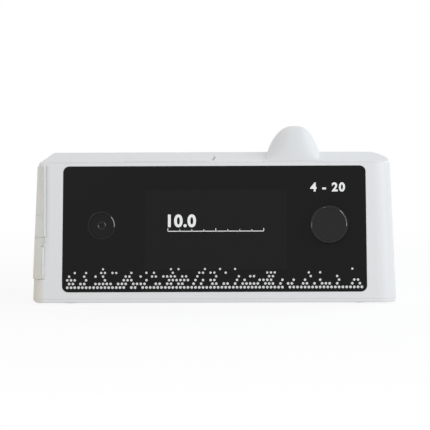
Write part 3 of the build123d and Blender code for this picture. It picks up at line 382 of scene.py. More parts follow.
def brushed(name, colour, roughness=0.3):
    """Rolled or brushed metal: fine parallel lines, 0.15 mm apart, that stretch the highlights."""
    material, tree, shader = new_material(name, colour, roughness, Metallic=1.0)
    place = add(tree, "ShaderNodeTexCoord").outputs["Object"]
    lines = add(tree, "ShaderNodeMapping", {"Vector": place, "Scale": (0.02, 1.0, 1.0)})
    scale = 1 / (0.15 * MM)
    noise = add(tree, "ShaderNodeTexNoise", {"Vector": lines.outputs[0], "Scale": scale, "Detail": 2.0})
    bump = add(tree, "ShaderNodeBump", {"Height": noise.outputs["Fac"], "Distance": 0.004 * MM})
    tree.links.new(bump.outputs[0], shader.inputs["Normal"])
    glosses = {"Value": noise.outputs["Fac"], "To Min": roughness - 0.08, "To Max": roughness + 0.1}
    spread = add(tree, "ShaderNodeMapRange", glosses)
    tree.links.new(spread.outputs[0], shader.inputs["Roughness"])
    return material


def fibre(name, colour, cell_mm):
    """Felted fibre or open foam: random cells with dark pits and no shine."""
    material, tree, shader = new_material(name, colour, 0.95, 1.4, Sheen_Weight=0.2)
    place = add(tree, "ShaderNodeTexCoord").outputs["Object"]
    cells = add(tree, "ShaderNodeTexVoronoi", {"Vector": place, "Scale": 1 / (cell_mm * MM)})
    tints = {"Factor": cells.outputs["Distance"], "A": shaded(colour, 0.55), "B": colour}
    shades = add(tree, "ShaderNodeMix", tints, data_type="RGBA")
    tree.links.new(shades.outputs["Result"], shader.inputs["Base Color"])
    bump = add(tree, "ShaderNodeBump", {"Height": cells.outputs["Distance"], "Distance": 0.15 * MM})
    tree.links.new(bump.outputs[0], shader.inputs["Normal"])
    return material


def circuit_board(name, colour):
    """Solder mask over copper: gloss green with lighter tracks round fields of 3 by 1.5 mm."""
    material, tree, shader = new_material(name, colour, 0.3)
    place = add(tree, "ShaderNodeTexCoord").outputs["Object"]
    layout = {
        "Vector": place,
        "Scale": 1 / (6.0 * MM),
        "Mortar Size": 0.02,
        "Color1": colour,
        "Color2": shaded(colour, 0.85),
        "Mortar": shaded(colour, 1.5),
    }
    tracks = add(tree, "ShaderNodeTexBrick", layout)
    tree.links.new(tracks.outputs["Color"], shader.inputs["Base Color"])
    bump = add(tree, "ShaderNodeBump", {"Height": tracks.outputs["Fac"], "Distance": 0.03 * MM})
    tree.links.new(bump.outputs[0], shader.inputs["Normal"])
    return material


def striped(name, colour, radian_mm, depth_mm, direction="X", metallic=0.0):
    """Parallel conductors or windings: round ridges with dark lines between them.

    A ridge is 2 pi times radian_mm wide: the wave texture turns 20 radians in a unit of its scale.
    """
    material, tree, shader = new_material(name, colour, 0.4, Metallic=metallic)
    place = add(tree, "ShaderNodeTexCoord").outputs["Object"]
    waves = {"Vector": place, "Scale": 1 / (radian_mm * MM) / 20, "Distortion": 0.0}
    ridges = add(tree, "ShaderNodeTexWave", waves, bands_direction=direction)
    tints = {"Factor": ridges.outputs["Fac"], "A": shaded(colour, 0.5), "B": colour}
    shades = add(tree, "ShaderNodeMix", tints, data_type="RGBA")
    tree.links.new(shades.outputs["Result"], shader.inputs["Base Color"])
    bump = add(tree, "ShaderNodeBump", {"Height": ridges.outputs["Fac"], "Distance": depth_mm * MM})
    tree.links.new(bump.outputs[0], shader.inputs["Normal"])
    return material


def printed_ink(name, colour):
    """Screen-printed ink: flat white, slightly raised, no gloss."""
    material, tree, shader = new_material(name, colour, 0.55)
    return grained(material, tree, shader, colour, 0.2, 0.003, 0.03, (0.5, 0.6), 10.0)


def dress(nodes, material):
    """Puts a material on the slots of CAD nodes."""
    for name in nodes:
        for place in range(len(NODES[name].material_slots)):
            NODES[name].material_slots[place].material = material


# Values that a user would change


class BreathingMachineColours(bpy.types.PropertyGroup):
    case: FloatVectorProperty(
        name="Case", description="White of the case", size=4, subtype="COLOR", default=linear("E3E3E4")
    )
    cap: FloatVectorProperty(
        name="End cap",
        description="Grey of the tank's end cap",
        size=4,
        subtype="COLOR",
        default=linear("DCDBD7"),
    )
    warm_shaded_tone: FloatVectorProperty(
        name="Warm shaded tone",
        description="Warmer grey at the foot of the end cap",
        size=4,
        subtype="COLOR",
        default=linear("D5D2C8"),
    )
    fascia: FloatVectorProperty(
        name="Fascia", description="Black of the front", size=4, subtype="COLOR", default=linear("0C0C0C")
    )
    window: FloatVectorProperty(
        name="Window",
        description="Black of the display window",
        size=4,
        subtype="COLOR",
        default=linear("0E0E0E"),
    )
    ink: FloatVectorProperty(
        name="Ink", description="White of the numbers", size=4, subtype="COLOR", default=linear("F2F2F2")
    )
    dots: FloatVectorProperty(
        name="Dots", description="White of the dots", size=4, subtype="COLOR", default=linear("DADADA")
    )
    knob: FloatVectorProperty(
        name="Knob", description="Black of its face", size=4, subtype="COLOR", default=linear("1C1C1B")
    )


class BreathingMachineSizes(bpy.types.PropertyGroup):
    edge_round: FloatProperty(
        name="Edge radius", description="Hood's back edge", unit="LENGTH", default=1.0 * MM
    )
    dot_pitch: FloatProperty(
        name="Dot pitch", description="Distance between printed dots", unit="LENGTH", default=2.5 * MM
    )
    dot_diameter: FloatProperty(
        name="Dot diameter", description="Largest printed dot", unit="LENGTH", default=1.8 * MM
    )
    dot_rows: IntProperty(name="Dot rows", description="Rows in the printed band", default=7)
    print_height: FloatProperty(
        name="Ink height", description="How far the ink stands proud", unit="LENGTH", default=0.03 * MM
    )
    mark_height: FloatProperty(
        name="Mark height", description="Numbers above the knob", unit="LENGTH", default=5.7 * MM
    )
    reading_height: FloatProperty(
        name="Reading height", description="Numerals on the display", unit="LENGTH", default=8.0 * MM
    )
    lip_width: FloatProperty(
        name="Lip width",
        description="Width of the clear lip in the cap's joint",
        unit="LENGTH",
        default=1.0 * MM,
    )
    bar_length: FloatProperty(
        name="Bar length", description="Level bar on the display", unit="LENGTH", default=64.0 * MM
    )
    mark_text: StringProperty(name="Mark", description="Numbers printed above the knob", default="4 - 20")
    reading_text: StringProperty(name="Reading", description="Numerals on the display", default="10.0")


# Pieces


class CaseFinish(bpy.types.Operator):
    """Finishes the outer mouldings"""

    bl_idname = "breathing_machine.case_finish"
    bl_label = "Case"

    def execute(self, context):
        colours = context.scene.machine_colours
        shells = ("housing", "base_tray", "filter_cover", "sd_door")
        dress(shells, case_abs(colours.case, colours.warm_shaded_tone))
        dress(("rubber_feet",), rubber("moulded_rubber_feet", linear("2B2B2B")))
        dress(("case_screws", "small_screws"), brushed("zinc_plated_steel", linear("9A9A9C")))
        dress(("outlet_port", "outlet_duct"), plain_moulding("grey_abs_duct", linear("B9BABC"), 0.35))
        return {"FINISHED"}


class TankFinish(bpy.types.Operator):
    """Finishes the water tank, its bay and the heater"""

    bl_idname = "breathing_machine.tank_finish"
    bl_label = "Water tank"

    def execute(self, context):
        colours = context.scene.machine_colours
        dress(("tank_face", "tank_grip"), cap_polycarbonate(colours.cap, colours.warm_shaded_tone))
        dress(("release_button",), plain_moulding("grey_abs_button", linear("B4B4AE"), 0.4))
        dress(("brake_shoe", "blower_grommets"), rubber("soft_rubber_parts", linear("3A3A3A")))
        dress(("tank_tub", "tank_lid"), clear_polycarbonate("clear_polycarbonate_tank", linear("EEF3F6")))
        dress(("tank_plate",), brushed("stainless_tank_plate", linear("C4C4C4"), 0.25))
        seals = ("inlet_seal", "outlet_seal", "tank_seal", "blower_hose")
        dress(seals, silicone("milky_silicone_seals", linear("E0E0DA")))
        dress(("tank_bay",), plain_moulding("pale_grey_abs_bay", linear("C6C8CA"), 0.45))
        dress(("heater_plate",), brushed("anodised_heater_plate", linear("C0C0C2"), 0.35))
        dress(("heater_film",), striped("polyimide_heater_film", linear("C8781E"), 2.0, 0.02))
        dress(("heater_insulation",), fibre("silicone_sponge_pad", linear("D6D6D2"), 0.8))
        dress(("heater_frame",), plain_moulding("glass_filled_heater_frame", linear("262626"), 0.6))
        return {"FINISHED"}


class CapLip(bpy.types.Operator):
    """Models the near-white lips along the end cap's joint with the case, a painted highlight line, and the
    beads across the cap
    """

    bl_idname = "breathing_machine.cap_lip"
    bl_label = "Cap lip"

    def execute(self, context):
        width = context.scene.machine_sizes.lip_width
        # The lips' near-white colour paints the bright highlight along the cap's edge
        finish = painted_highlight_lip(linear("F6F6F2"))
        moulding = bpy.data.materials["polycarbonate_cap_shaded_tone"]
        low, high = corners("tank_grip")
        face_low, face_high = corners("tank_face")
        notch = face_high[0]
        inner, low_inner = notch - 0.8 * MM, notch - 2.0 * MM
        gap = 0.2 * MM
        notch_foot, slope_foot = high[2] - 3.3 * MM, high[2] - 6.0 * MM
        for name, x, start, end in (
            ("cap_lip_upper", inner, face_low[2] + gap, face_high[2] + 0.25 * MM),
            ("cap_lip_lower", low_inner, low[2] + gap, slope_foot),
        ):
            strip = lip(x, start, end, width)
            faces = grid_faces(len(strip), strip.shape[1], closed=True)
            make_piece(name, strip, faces, finish, "tank")
        notch_top = high[2] + 0.15 * MM
        turns = np.array([
            (inner + gap, notch_top),
            (notch + gap, notch_top),
            (notch + gap, notch_foot),
            (low_inner + gap, slope_foot),
        ])
        share = np.linspace(0.0, 1.0, 12)[:-1, None]
        path = np.concatenate([a + share * (b - a) for a, b in zip(turns, turns[1:])])
        path[:, 1] = up_the_front(path[:, 1])
        bead_piece("cap_lip_notch", path, 0.19 * MM, -0.1 * MM, finish, "tank")
        # Ends, height, radius and depth of the level beads
        ends = (face_low[0] + 3.0 * MM, inner + 0.4 * MM)
        # A near-white bead over the gap at the cap's top: it paints light over the shadow of that gap
        level_bead("cap_lip_top", ends, face_high[2] + 0.2 * MM, 0.2 * MM, -0.1 * MM, finish)
        ends = (low[0] + 1.9 * MM, notch - 0.6 * MM)
        level_bead("cap_bead_grip", ends, (face_low[2] + high[2]) / 2, 0.13 * MM, 0.5 * MM, moulding)
        ends = (low[0] + 1.4 * MM, low_inner + 0.3 * MM)
        level_bead("cap_bead_foot", ends, low[2] - 0.15 * MM, 0.17 * MM, 0.2 * MM, moulding)
        return {"FINISHED"}


def lip(x, start, end, width):
    """A strip up the front between two heights: half an ellipse as its head, over a narrow stem."""
    turn = np.linspace(0.0, np.pi, 9)
    stem, root, shoulder = 0.34 * MM, -2.4 * MM, -1.1 * MM
    head, swell = -0.25 * MM, 0.5 * MM
    across = np.concatenate([x + width / 2 + width / 2 * np.cos(turn), [x, x + stem, x + stem]])
    depth = np.concatenate([head + swell * np.sin(turn), [root, root, shoulder]])
    up = up_the_front(np.linspace(start, end, 24))[:, None]
    level = np.ones_like(up)
    rows = on_front(across * level, up + 0 * across, depth * level)
    caps = rows[[0, -1]].mean(1, keepdims=True) + 0 * rows[[0, -1]]
    return np.concatenate([caps[:1], rows, caps[1:]])


def level_bead(name, ends, z, radius, depth, finish):
    """A level bead across the end cap at height z."""
    across = np.linspace(*ends, 12)
    path = np.stack([across, up_the_front(np.full(len(across), z), depth)], -1)
    bead_piece(name, path, radius, depth, finish, "tank")


class FrontFinish(bpy.types.Operator):
    """Finishes the fascia, the display and what stands behind them"""

    bl_idname = "breathing_machine.front_finish"
    bl_label = "Front"

    def execute(self, context):
        colours = context.scene.machine_colours
        dress(("fascia_panel",), fascia_acrylic(colours.fascia))
        dress(("display_lens",), lens_acrylic(colours.window))
        dress(("display_module",), gloss_moulding("display_glass_dark", linear("101012"), 0.1, 0.2))
        dress(("display_gasket",), fibre("closed_cell_gasket_foam", linear("1C1C1C"), 0.4))
        dress(("front_carrier",), plain_moulding("black_abs_carrier", linear("1A1A1A"), 0.55))
        dress(("control_board", "main_board"), circuit_board("green_solder_mask", linear("1E6B3A")))
        dress(("power_switch",), plain_moulding("black_nylon_switch", linear("161616")))
        dress(("encoder_body",), brushed("pressed_steel_encoder", linear("A8A8AA")))
        dress(("encoder_nut",), brushed("plated_brass_nut", linear("C8B478")))
        shafts = ("encoder_shaft", "encoder_plunger", "motor_shaft")
        dress(shafts, brushed("turned_steel_shafts", linear("B0B0B2"), 0.22))
        dress(("ribbon_cables",), striped("flat_cable_insulation", linear("DADAD6"), 1.0, 0.05))
        return {"FINISHED"}


class AirPathFinish(bpy.types.Operator):
    """Finishes the blower, the inlet and the rear electronics"""

    bl_idname = "breathing_machine.air_path_finish"
    bl_label = "Air path"

    def execute(self, context):
        dress(("volute_lower", "volute_upper"), plain_moulding("dark_grey_abs_volute", linear("5A5C5E")))
        dress(("motor_case",), brushed("die_cast_motor_case", linear("A4A4A6"), 0.45))
        dress(("motor_bearings",), brushed("ground_bearing_steel", linear("D0D0D2"), 0.15))
        dress(("stator",), striped("enamelled_copper_windings", linear("B8703A"), 0.8, 0.2, "Z", 1.0))
        dress(("rotor_magnet",), brushed("coated_rotor_magnet", linear("5E5E62"), 0.4))
        dress(("impeller",), plain_moulding("white_pbt_impeller", linear("DCDCD8"), 0.4))
        dress(("muffler_box",), plain_moulding("grey_abs_muffler", linear("8A8C8E")))
        dress(("muffler_foam",), fibre("open_cell_foam", linear("4A4A4C"), 1.2))
        dress(("inlet_filter",), fibre("filter_fibre_pad", linear("E8E8E2"), 0.7))
        dress(("dc_jack",), plain_moulding("black_nylon_jack", linear("141414"), 0.4))
        dress(("sd_slot",), brushed("pressed_steel_slot", linear("B0B0B4")))
        dress(("flow_sensor",), plain_moulding("dark_sensor_body", linear("4A4A4E"), 0.4))
        dress(("sensor_tube",), silicone("clear_silicone_tube", linear("D8DCDC")))
        return {"FINISHED"}


class HoodPiece(bpy.types.Operator):
    """Models the hood that rises from the front fold and holds the hose outlet at the back"""

    bl_idname = "breathing_machine.hood"
    bl_label = "Hood"

    def execute(self, context):
        edge = context.scene.machine_sizes.edge_round
        low, high = corners("outlet_hood")
        port_x, _, port_z = sum(corners("outlet_port")) / 2
        foot, back, collar = low[2] + 0.06 * MM, corners("filter_cover")[1][1], high[1]
        ridge, crest = (low[0] + high[0]) / 2 - 1.1 * MM, high[2] - 0.9 * MM
        outline_x, rise = hood_outline(ridge, crest - foot)

        # The hood's length: a quarter sine that starts with a steep little step
        depth = np.linspace(0.0, 1.0, 40)
        climb = np.sin(np.pi / 2 * depth) * depth / (depth + 0.015)
        climb = climb / climb[-1]
        start = low[1] - 2.0 * MM
        y = start + depth * (back - edge - start)
        z = foot + climb[:, None] * rise
        rows = [np.stack(np.broadcast_arrays(outline_x, y[:, None], z), -1)]

        # The back edge: the last outline, drawn in round a quarter circle
        for step in np.radians((30.0, 60.0, 90.0)):
            drawn_in = 1 - edge * (1 - np.cos(step)) / rise.max()
            x = port_x + (outline_x - port_x) * drawn_in
            y = back - edge * (1 - np.sin(step))
            rows.append(np.stack(np.broadcast_arrays(x, y, foot + rise * drawn_in), -1)[None])

        # The collar: arcs round the port, out to its face and back through its bore
        across = np.unwrap(np.arctan2(z[-1] - port_z, outline_x - port_x)[::-1])[::-1]
        across = (across - across[-1]) / (across[0] - across[-1])
        outer, bore, chamfer = 13.6 * MM, 11.65 * MM, 0.3 * MM
        for radius, y in (
            (outer, back),
            (outer, collar - chamfer),
            (outer - chamfer, collar),
            (bore + chamfer, collar),
            (bore, collar - chamfer),
            (bore, back - 2.4 * MM),
        ):
            lowest = np.arcsin((foot - port_z) / radius)
            angle = lowest + across * (np.pi - 2 * lowest)
            ring = (port_x + radius * np.cos(angle), y, port_z + radius * np.sin(angle))
            rows.append(np.stack(np.broadcast_arrays(*ring), -1)[None])

        grid = np.concatenate(rows)
        finish = bpy.data.materials["white_abs_spark_texture"]
        faces = grid_faces(len(grid), grid.shape[1])
        piece = make_piece("hood_shell", grid, faces, finish, "chassis")
        wall = piece.modifiers.new("wall", "SOLIDIFY")
        wall.thickness = 1.4 * MM
        wall.offset = -1.0
        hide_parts("outlet_hood")
        return {"FINISHED"}


def hood_outline(ridge, height):
    """The hood's end outline: left of the ridge height times (1 - u^2.2)^0.8, right of it 1 - u^3.

    u is the distance from the ridge over that side's half width. Past the half width the value turns
    negative, and a smooth maximum with nought lets the foot flare out onto the top.
    """
    left_half, right_half, flare, softness = 18.1 * MM, 17.7 * MM, 0.12, 0.03
    side = np.sin(np.linspace(0.0, np.pi / 2, 28))
    reach = np.concatenate([side, 1 + np.linspace(0.01, flare, 8)])
    left = np.sign(1 - reach**2.2) * np.abs(1 - reach**2.2) ** 0.8
    right = 1 - reach**3
    share = np.concatenate([left[:0:-1], right])
    x = np.concatenate([ridge - reach[:0:-1] * left_half, ridge + reach * right_half])
    share = share / 2 + np.sqrt(share**2 / 4 + softness**2)
    edge = np.where(x < ridge, share[0], share[-1])
    share = (share - edge) / (share.max() - edge)
    return x, height * share


class KnobPiece(bpy.types.Operator):
    """Models the turned knob with its gloss rim and matt face"""

    bl_idname = "breathing_machine.knob"
    bl_label = "Knob"

    def execute(self, context):
        low, high = corners("knob")
        radius = (high[0] - low[0]) / 2
        cap_low, cap_high = corners("knob_cap")
        face = (cap_high[0] - cap_low[0]) / 2
        top = face_depth(high, radius)
        foot, web, bore = 0.6 * MM, 2.2 * MM, 8.2 * MM
        bevel, bevel_depth, toe, toe_height = 1.2 * MM, 0.8 * MM, 0.3 * MM, 0.6 * MM
        bed, slack, dish = top - 0.5 * MM, 0.05 * MM, 0.35 * MM
        rim = [
            (bore, web),
            (bore, foot),
            (radius - toe, foot),
            (radius, foot + toe_height),
            (radius, top - bevel_depth),
            (radius - bevel, top),
            (face, top),
            (face - slack, bed),
            (0.0, bed),
            (0.0, web),
            (bore, web),
        ]
        points, faces = turned(rounded(rim, 0.15 * MM), KNOB_CENTRE[0], 128)
        finish = gloss_moulding("polished_black_knob_rim", linear("0A0A0A"), 0.05, 0.36)
        piece = make_piece("knob_shell", points, faces, finish, "knob")
        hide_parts("knob")

        # The face is dished: its depth grows with one less the square of the radius
        reach = np.linspace(0.0, face - 2 * slack, 14)
        crown = np.stack([reach, top - dish * (1 - (reach / face) ** 2)], -1)
        back = [(reach[-1], bed + slack), (0.0, bed + slack)]
        points, faces = turned(np.concatenate([crown, back]), KNOB_CENTRE[0], 128)
        finish = soft_touch("soft_touch_knob_face", context.scene.machine_colours.knob)
        piece = make_piece("knob_face", points, faces, finish, "knob")
        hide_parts("knob_cap")
        return {"FINISHED"}


class PowerButtonPiece(bpy.types.Operator):
    """Models the power button with its raised ring and bar, and the bezel round it"""

    bl_idname = "breathing_machine.power_button"
    bl_label = "Power button"

    def execute(self, context):
        low, high = corners("button_ring")
        centre = (low[0] + high[0]) / 2
        outer = (high[0] - low[0]) / 2
        inner, bezel_back = outer - 1.1 * MM, -1.6 * MM
        # The slope between the crest and the foot leans 35 degrees; two points close to its ends
        # keep it straight under smooth shading, so that it catches the light as one arc
        bezel = [
            (inner, bezel_back),
            (inner, 0.42 * MM),
            (inner + 0.1 * MM, 0.49 * MM),
            (inner + 0.16 * MM, 0.448 * MM),
            (outer - 0.36 * MM, 0.042 * MM),
            (outer - 0.3 * MM, 0.0),
            (outer, 0.0),
            (outer, bezel_back),
            (inner, bezel_back),
        ]
        points, faces = turned(rounded(bezel, 0.06 * MM), centre)
        finish = gloss_moulding("polished_black_bezel", linear("0D0D0D"), 0.08, 0.28)
        piece = make_piece("button_bezel", points, faces, finish, "chassis")
        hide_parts("button_ring")

        radius, level, back = inner - 0.1 * MM, -0.3 * MM, -2.0 * MM
        button = [(0.0, level), (radius - 0.4 * MM, level), (radius, level), (radius, back), (0.0, back)]
        points, faces = turned(rounded(button, 0.1 * MM), centre)
        finish = gloss_moulding("polished_black_button", linear("0E0E0D"), 0.1, 0.2)
        piece = make_piece("button_face", points, faces, finish, "button")
        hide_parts("power_button")

        finish = gloss_moulding("polished_black_symbol", linear("0B0B0B"), 0.08, 0.33)
        crest, half, root = 2.35 * MM, 0.55 * MM, -0.6 * MM
        ridge = [
            (crest - half, root),
            (crest - half, level),
            (crest, 0.08 * MM),
            (crest + half, level),
            (crest + half, root),
            (crest - half, root),
        ]
        points, faces = turned(rounded(ridge, 0.05 * MM), centre)
        make_piece("power_symbol_ring", points, faces, finish, "button")
        bar_foot, bar_top = 0.2 * MM, 3.4 * MM
        bar = np.stack([np.full(8, centre), np.linspace(bar_foot, bar_top, 8)], -1)
        bead_piece("power_symbol_bar", bar, 0.42 * MM, -0.2 * MM, finish, "button")
        return {"FINISHED"}


class PrintedDots(bpy.types.Operator):
    """Prints the halftone band along the foot of the fascia"""

    bl_idname = "breathing_machine.printed_dots"
    bl_label = "Printed dots"

    def execute(self, context):
        sizes = context.scene.machine_sizes
        low, high = corners("fascia_panel")
        panel, margin = 1.6 * MM, 3.0 * MM
        foot = up_the_front(low[2], -panel)
        pitch, rise = sizes.dot_pitch, 0.97
        half = (high[0] - low[0]) / 2 - margin
        columns = np.arange(-int(half / pitch), int(half / pitch) + 1)
        row, column = np.meshgrid(np.arange(sizes.dot_rows), columns, indexing="ij")
        u = (column + 0.5 * (row % 2)) * pitch
        v = foot + margin + row * pitch * rise
        # The lowest row is nearly whole, and the dots thin out and shrink upwards
        full, thinned, fall, shrink = 0.97, 0.64, 2.1, 0.04
        chance = np.where(row == 0, full, thinned * (1 - (row - 1) / sizes.dot_rows) ** fall)
        keep = (np.random.default_rng(7).random(row.shape) < chance) & (np.abs(u) < half)
        share = 1.0 - shrink * row
        radius = sizes.dot_diameter / 2 * share[keep]
        finish = printed_ink("white_screen_print", context.scene.machine_colours.dots)
        discs("printed_dots", u[keep], v[keep], radius, sizes.print_height, finish)
        return {"FINISHED"}


def discs(name, u, v, radius, height, finish):
    """Low round cakes of ink: each has a ring at its foot and a slightly smaller one at its top."""
    sides = 14
    turn = np.linspace(0.0, 2 * np.pi, sides, endpoint=False)
    levels = np.array([(1.0, INK_BED), (1.0, height * 0.5), (0.93, height)])
    reach = radius[:, None, None] * levels[None, :, :1]
    ring_u = u[:, None, None] + reach * np.cos(turn)
    ring_v = v[:, None, None] + reach * np.sin(turn)
    depth = np.broadcast_to(levels[None, :, 1:], ring_u.shape)
    points = on_front(ring_u, ring_v, depth)
    each = len(levels) * sides
    starts = np.arange(len(u)) * each
    quads = (starts[:, None, None] + grid_faces(len(levels), sides, closed=True)).reshape(-1, 4)
    bottoms = starts[:, None] + np.arange(sides)[::-1]
    tops = starts[:, None] + np.arange(sides) + each - sides
    make_piece(name, points, [*quads, *bottoms, *tops], finish, "chassis", smooth=False)


class PrintedNumbers(bpy.types.Operator):
    """Prints the pressure numbers above the knob and the reading on the display"""

    bl_idname = "breathing_machine.printed_numbers"
    bl_label = "Numbers"

    def execute(self, context):
        sizes = context.scene.machine_sizes
        ink = printed_ink("white_number_print", context.scene.machine_colours.ink)
        proud = sizes.print_height
        # Text, centre, height and spacing of the numbers over the knob and of the reading
        centre = (KNOB_CENTRE[0] - 0.9 * MM, 24.8 * MM)
        mark = (sizes.mark_text, centre, sizes.mark_height, 1.2)
        numerals("pressure_numbers", *mark, proud, ink, "fascia_black")
        left = sum(corners("display_lens"))[0] / 2 - sizes.bar_length / 2
        centre = (left + 1.08 * sizes.reading_height, 2.5 * MM)
        reading = (sizes.reading_text, centre, sizes.reading_height, 1.08)
        numerals("display_reading", *reading, proud, ink, "lens_black")
        level, line, tick, short, tall = -4.2 * MM, 0.5 * MM, 0.45 * MM, 1.4 * MM, 2.2 * MM
        strokes = [(left, level, sizes.bar_length, line)]
        for share in np.linspace(0.0, 1.0, 9):
            height = tall if share in (0.0, 0.5, 1.0) else short
            strokes.append((left + share * (sizes.bar_length - tick), level, tick, height))
        bars("display_level_bar", np.array(strokes), proud, ink)
        return {"FINISHED"}


def bars(name, strokes, height, finish):
    """Low bars of ink: a box for each left foot, width and height, four corners below and four above."""
    corner = np.array([(0, 0), (1, 0), (1, 1), (0, 1)])
    flat = strokes[:, None, :2] + corner * strokes[:, None, 2:]
    levels = (INK_BED, height)
    points = np.concatenate([on_front(flat[..., 0], flat[..., 1], depth) for depth in levels], axis=1)
    one = np.concatenate([grid_faces(2, 4, closed=True), [(3, 2, 1, 0), (4, 5, 6, 7)]])
    faces = (np.arange(len(strokes))[:, None, None] * 8 + one).reshape(-1, 4)
    make_piece(name, points, faces, finish, "chassis", smooth=False)


def numerals(name, text, place, height, spacing, thick, finish, slot):
    """Digits cut from a thin sheet: the built-in font's outline, bolder, extruded and laid on the front."""
    capital_share, bolder = 0.72, 0.05
    curve = bpy.data.curves.new(name, "FONT")
    curve.body = text
    curve.align_x = "CENTER"
    curve.align_y = "CENTER"
    curve.size = height / capital_share
    curve.extrude = thick
    curve.offset = height * bolder
    curve.space_character = spacing
    holder = bpy.data.objects.new(name + "_outline", curve)
    bpy.context.scene.collection.objects.link(holder)
    bpy.context.view_layer.update()
    mesh = bpy.data.meshes.new_from_object(holder)
    mesh.name = name
    bpy.data.objects.remove(holder)
    axes = Matrix(np.stack([RIGHT, UP, OUT], -1).tolist()).to_4x4()
    mesh.transform(Matrix.Translation(Vector(on_front(*place, thick / 2).ravel())) @ axes)
    return finish_piece(name, mesh, finish, "chassis", smooth=False)


# Studio


class Studio(bpy.types.Operator):
    """Sets up the pale floor, the soft lamps, the world and the camera"""

    bl_idname = "breathing_machine.studio"
    bl_label = "Studio"

    def execute(self, context):
        scene = context.scene
        floor_piece()
        world_light(scene)
        warm, cool = (1.0, 0.98, 0.95), (0.9, 0.95, 1.0)
        sky, deep_sky = (0.8, 0.91, 1.0), (0.74, 0.88, 1.0)
        middle, foot = (0.0, 0.0, 0.06), (0.0, -0.05, 0.05)
        # Name, place, aim, width and height in metres, watts and colour
        for lamp in (
            ("key_strip_right", (0.7, -0.36, 0.42), middle, (0.08, 0.75), 2.1, cool),
            ("front_fill_left", (-0.35, -1.2, 0.55), middle, (0.3, 0.3), 1.0, warm),
            ("front_fill_right", (0.35, -1.2, 0.6), (0.05, 0.0, 0.06), (0.3, 0.3), 0.8, sky),
            ("rear_fill_right", (0.5, 0.4, 0.5), (0.05, 0.0, 0.1), (0.4, 0.4), 1.3, deep_sky),
            ("small_lamp_above", (-0.15, -0.35, 0.95), (0.0, -0.05, 0.06), (0.1, 0.1), 0.5, warm),
            ("low_strip_left", (-0.8, -0.45, 0.1), foot, (0.06, 0.4), 0.3, warm),
        ):
            soft_lamp(*lamp)
        camera(scene)
        scene.view_settings.view_transform = "Standard"
        return {"FINISHED"}


def floor_piece():
    """A wide light table: white to the camera far off, and near the object it keeps part of its shadow."""
    reach = 80.0
    square = [(-reach, -reach, 0), (reach, -reach, 0), (reach, reach, 0), (-reach, reach, 0)]
    mesh = bpy.data.meshes.new("studio_floor")
    mesh.from_pydata(square, [], [(0, 1, 2, 3)])
    material = bpy.data.materials.new("pale_studio_floor")
    material.use_nodes = True
    tree = material.node_tree
    tree.nodes.clear()
    plain = add(tree, "ShaderNodeBsdfDiffuse", {"Color": linear("FFFFFF")})
    white = add(tree, "ShaderNodeEmission", {"Color": linear("FFFFFF"), "Strength": 1.0})
    path = add(tree, "ShaderNodeLightPath").outputs
    rays = {0: path["Is Camera Ray"], 1: path["Is Glossy Ray"]}
    seen = add(tree, "ShaderNodeMath", rays, operation="MAXIMUM")
    place = add(tree, "ShaderNodeTexCoord").outputs["Object"]
    away = add(tree, "ShaderNodeVectorMath", {0: place}, operation="LENGTH").outputs["Value"]
    # White from 0.7 m on; under the object 0.86 of it for the eye, and 0.6 for every other ray
    fade = {"Value": away, "From Min": 0.2, "From Max": 0.7, "To Min": 0.86, "To Max": 1.0}
    far = add(tree, "ShaderNodeMapRange", fade)
    share = add(tree, "ShaderNodeMath", {0: seen.outputs[0], 1: far.outputs[0]}, operation="MULTIPLY")
    share = add(tree, "ShaderNodeMath", {0: share.outputs[0], 1: 0.6}, operation="MAXIMUM")
    blend = {0: share.outputs[0], 1: plain.outputs[0], 2: white.outputs[0]}
    mix = add(tree, "ShaderNodeMixShader", blend)
    add(tree, "ShaderNodeOutputMaterial", {"Surface": mix.outputs[0]})
    mesh.materials.append(material)
    floor = bpy.data.objects.new("studio_floor", mesh)
    bpy.context.scene.collection.objects.link(floor)


def world_light(scene):
    """White to the camera, to reflections and through clear parts, and about half as bright as light."""
    world = bpy.data.worlds.new("studio_world")
    world.use_nodes = True
    tree = world.node_tree
    tree.nodes.clear()
    path = add(tree, "ShaderNodeLightPath").outputs
    seen = path["Is Camera Ray"]
    for rays in ("Is Glossy Ray", "Is Transmission Ray"):
        seen = add(tree, "ShaderNodeMath", {0: seen, 1: path[rays]}, operation="MAXIMUM").outputs[0]
    light = add(tree, "ShaderNodeBackground", {"Color": linear("FFFFFF"), "Strength": 0.52})
    white = add(tree, "ShaderNodeBackground", {"Color": linear("FFFFFF"), "Strength": 1.0})
    mix = add(tree, "ShaderNodeMixShader", {0: seen, 1: light.outputs[0], 2: white.outputs[0]})
    add(tree, "ShaderNodeOutputWorld", {"Surface": mix.outputs[0]})
    scene.world = world


def soft_lamp(name, place, aim, size, power, colour):
    """A rectangular area lamp that faces its aim."""
    lamp = bpy.data.lights.new(name, "AREA")
    lamp.shape = "RECTANGLE"
    lamp.size, lamp.size_y = size
    lamp.energy = power
    lamp.color = colour
    holder = bpy.data.objects.new(name, lamp)
    holder.location = place
    holder.rotation_euler = (Vector(aim) - Vector(place)).to_track_quat("-Z", "Y").to_euler()
    bpy.context.scene.collection.objects.link(holder)


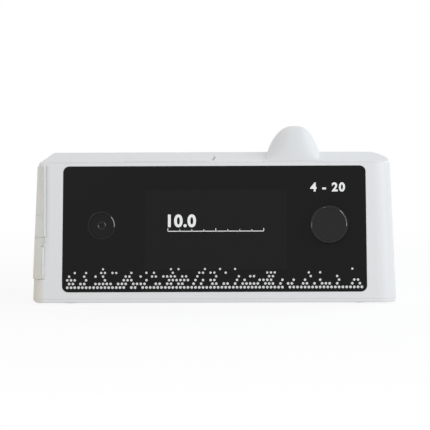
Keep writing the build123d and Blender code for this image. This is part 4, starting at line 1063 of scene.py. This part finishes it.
def camera(scene):
    """A long lens a little right of centre and above the top, turned slightly left and down."""
    place = Vector((0.0662, -2.5228, 0.2169))
    yaw, pitch, roll = np.radians((-1.5391, 3.6924, -0.2952))
    forward = Vector((np.sin(yaw) * np.cos(pitch), np.cos(yaw) * np.cos(pitch), -np.sin(pitch)))
    level = Vector((np.cos(yaw), -np.sin(yaw), 0.0))
    upright = level.cross(forward)
    right = level * np.cos(roll) + upright * np.sin(roll)
    upright = upright * np.cos(roll) - level * np.sin(roll)
    lens = bpy.data.cameras.new("studio_camera")
    lens.sensor_width = 36.0
    lens.lens = 309.77
    lens.clip_start = 0.05
    holder = bpy.data.objects.new("studio_camera", lens)
    axes = Matrix((right, upright, -forward)).transposed().to_4x4()
    holder.matrix_world = Matrix.Translation(place) @ axes
    scene.collection.objects.link(holder)
    scene.camera = holder


class MachinePanel(bpy.types.Panel):
    """Lists the machine's pieces and its colours and sizes"""

    bl_idname = "VIEW3D_PT_breathing_machine"
    bl_label = "Breathing machine"
    bl_space_type = "VIEW_3D"
    bl_region_type = "UI"
    bl_category = "Breathing machine"

    def draw(self, context):
        for group in (context.scene.machine_colours, context.scene.machine_sizes):
            for name in group.__annotations__:
                self.layout.prop(group, name)
        for operator in OPERATORS:
            self.layout.operator(operator.bl_idname)


OPERATORS = (
    CaseFinish,
    TankFinish,
    CapLip,
    FrontFinish,
    AirPathFinish,
    HoodPiece,
    KnobPiece,
    PowerButtonPiece,
    PrintedDots,
    PrintedNumbers,
    Studio,
)
CLASSES = (BreathingMachineColours, BreathingMachineSizes, *OPERATORS, MachinePanel)


def register():
    for item in CLASSES:
        bpy.utils.register_class(item)
    bpy.types.Scene.machine_colours = PointerProperty(type=BreathingMachineColours)
    bpy.types.Scene.machine_sizes = PointerProperty(type=BreathingMachineSizes)


def unregister():
    del bpy.types.Scene.machine_sizes
    del bpy.types.Scene.machine_colours
    for item in reversed(CLASSES):
        bpy.utils.unregister_class(item)


def main():
    register()
    for operator in OPERATORS:
        group, name = operator.bl_idname.split(".")
        getattr(getattr(bpy.ops, group), name)()


if __name__ == "__main__":
    main()
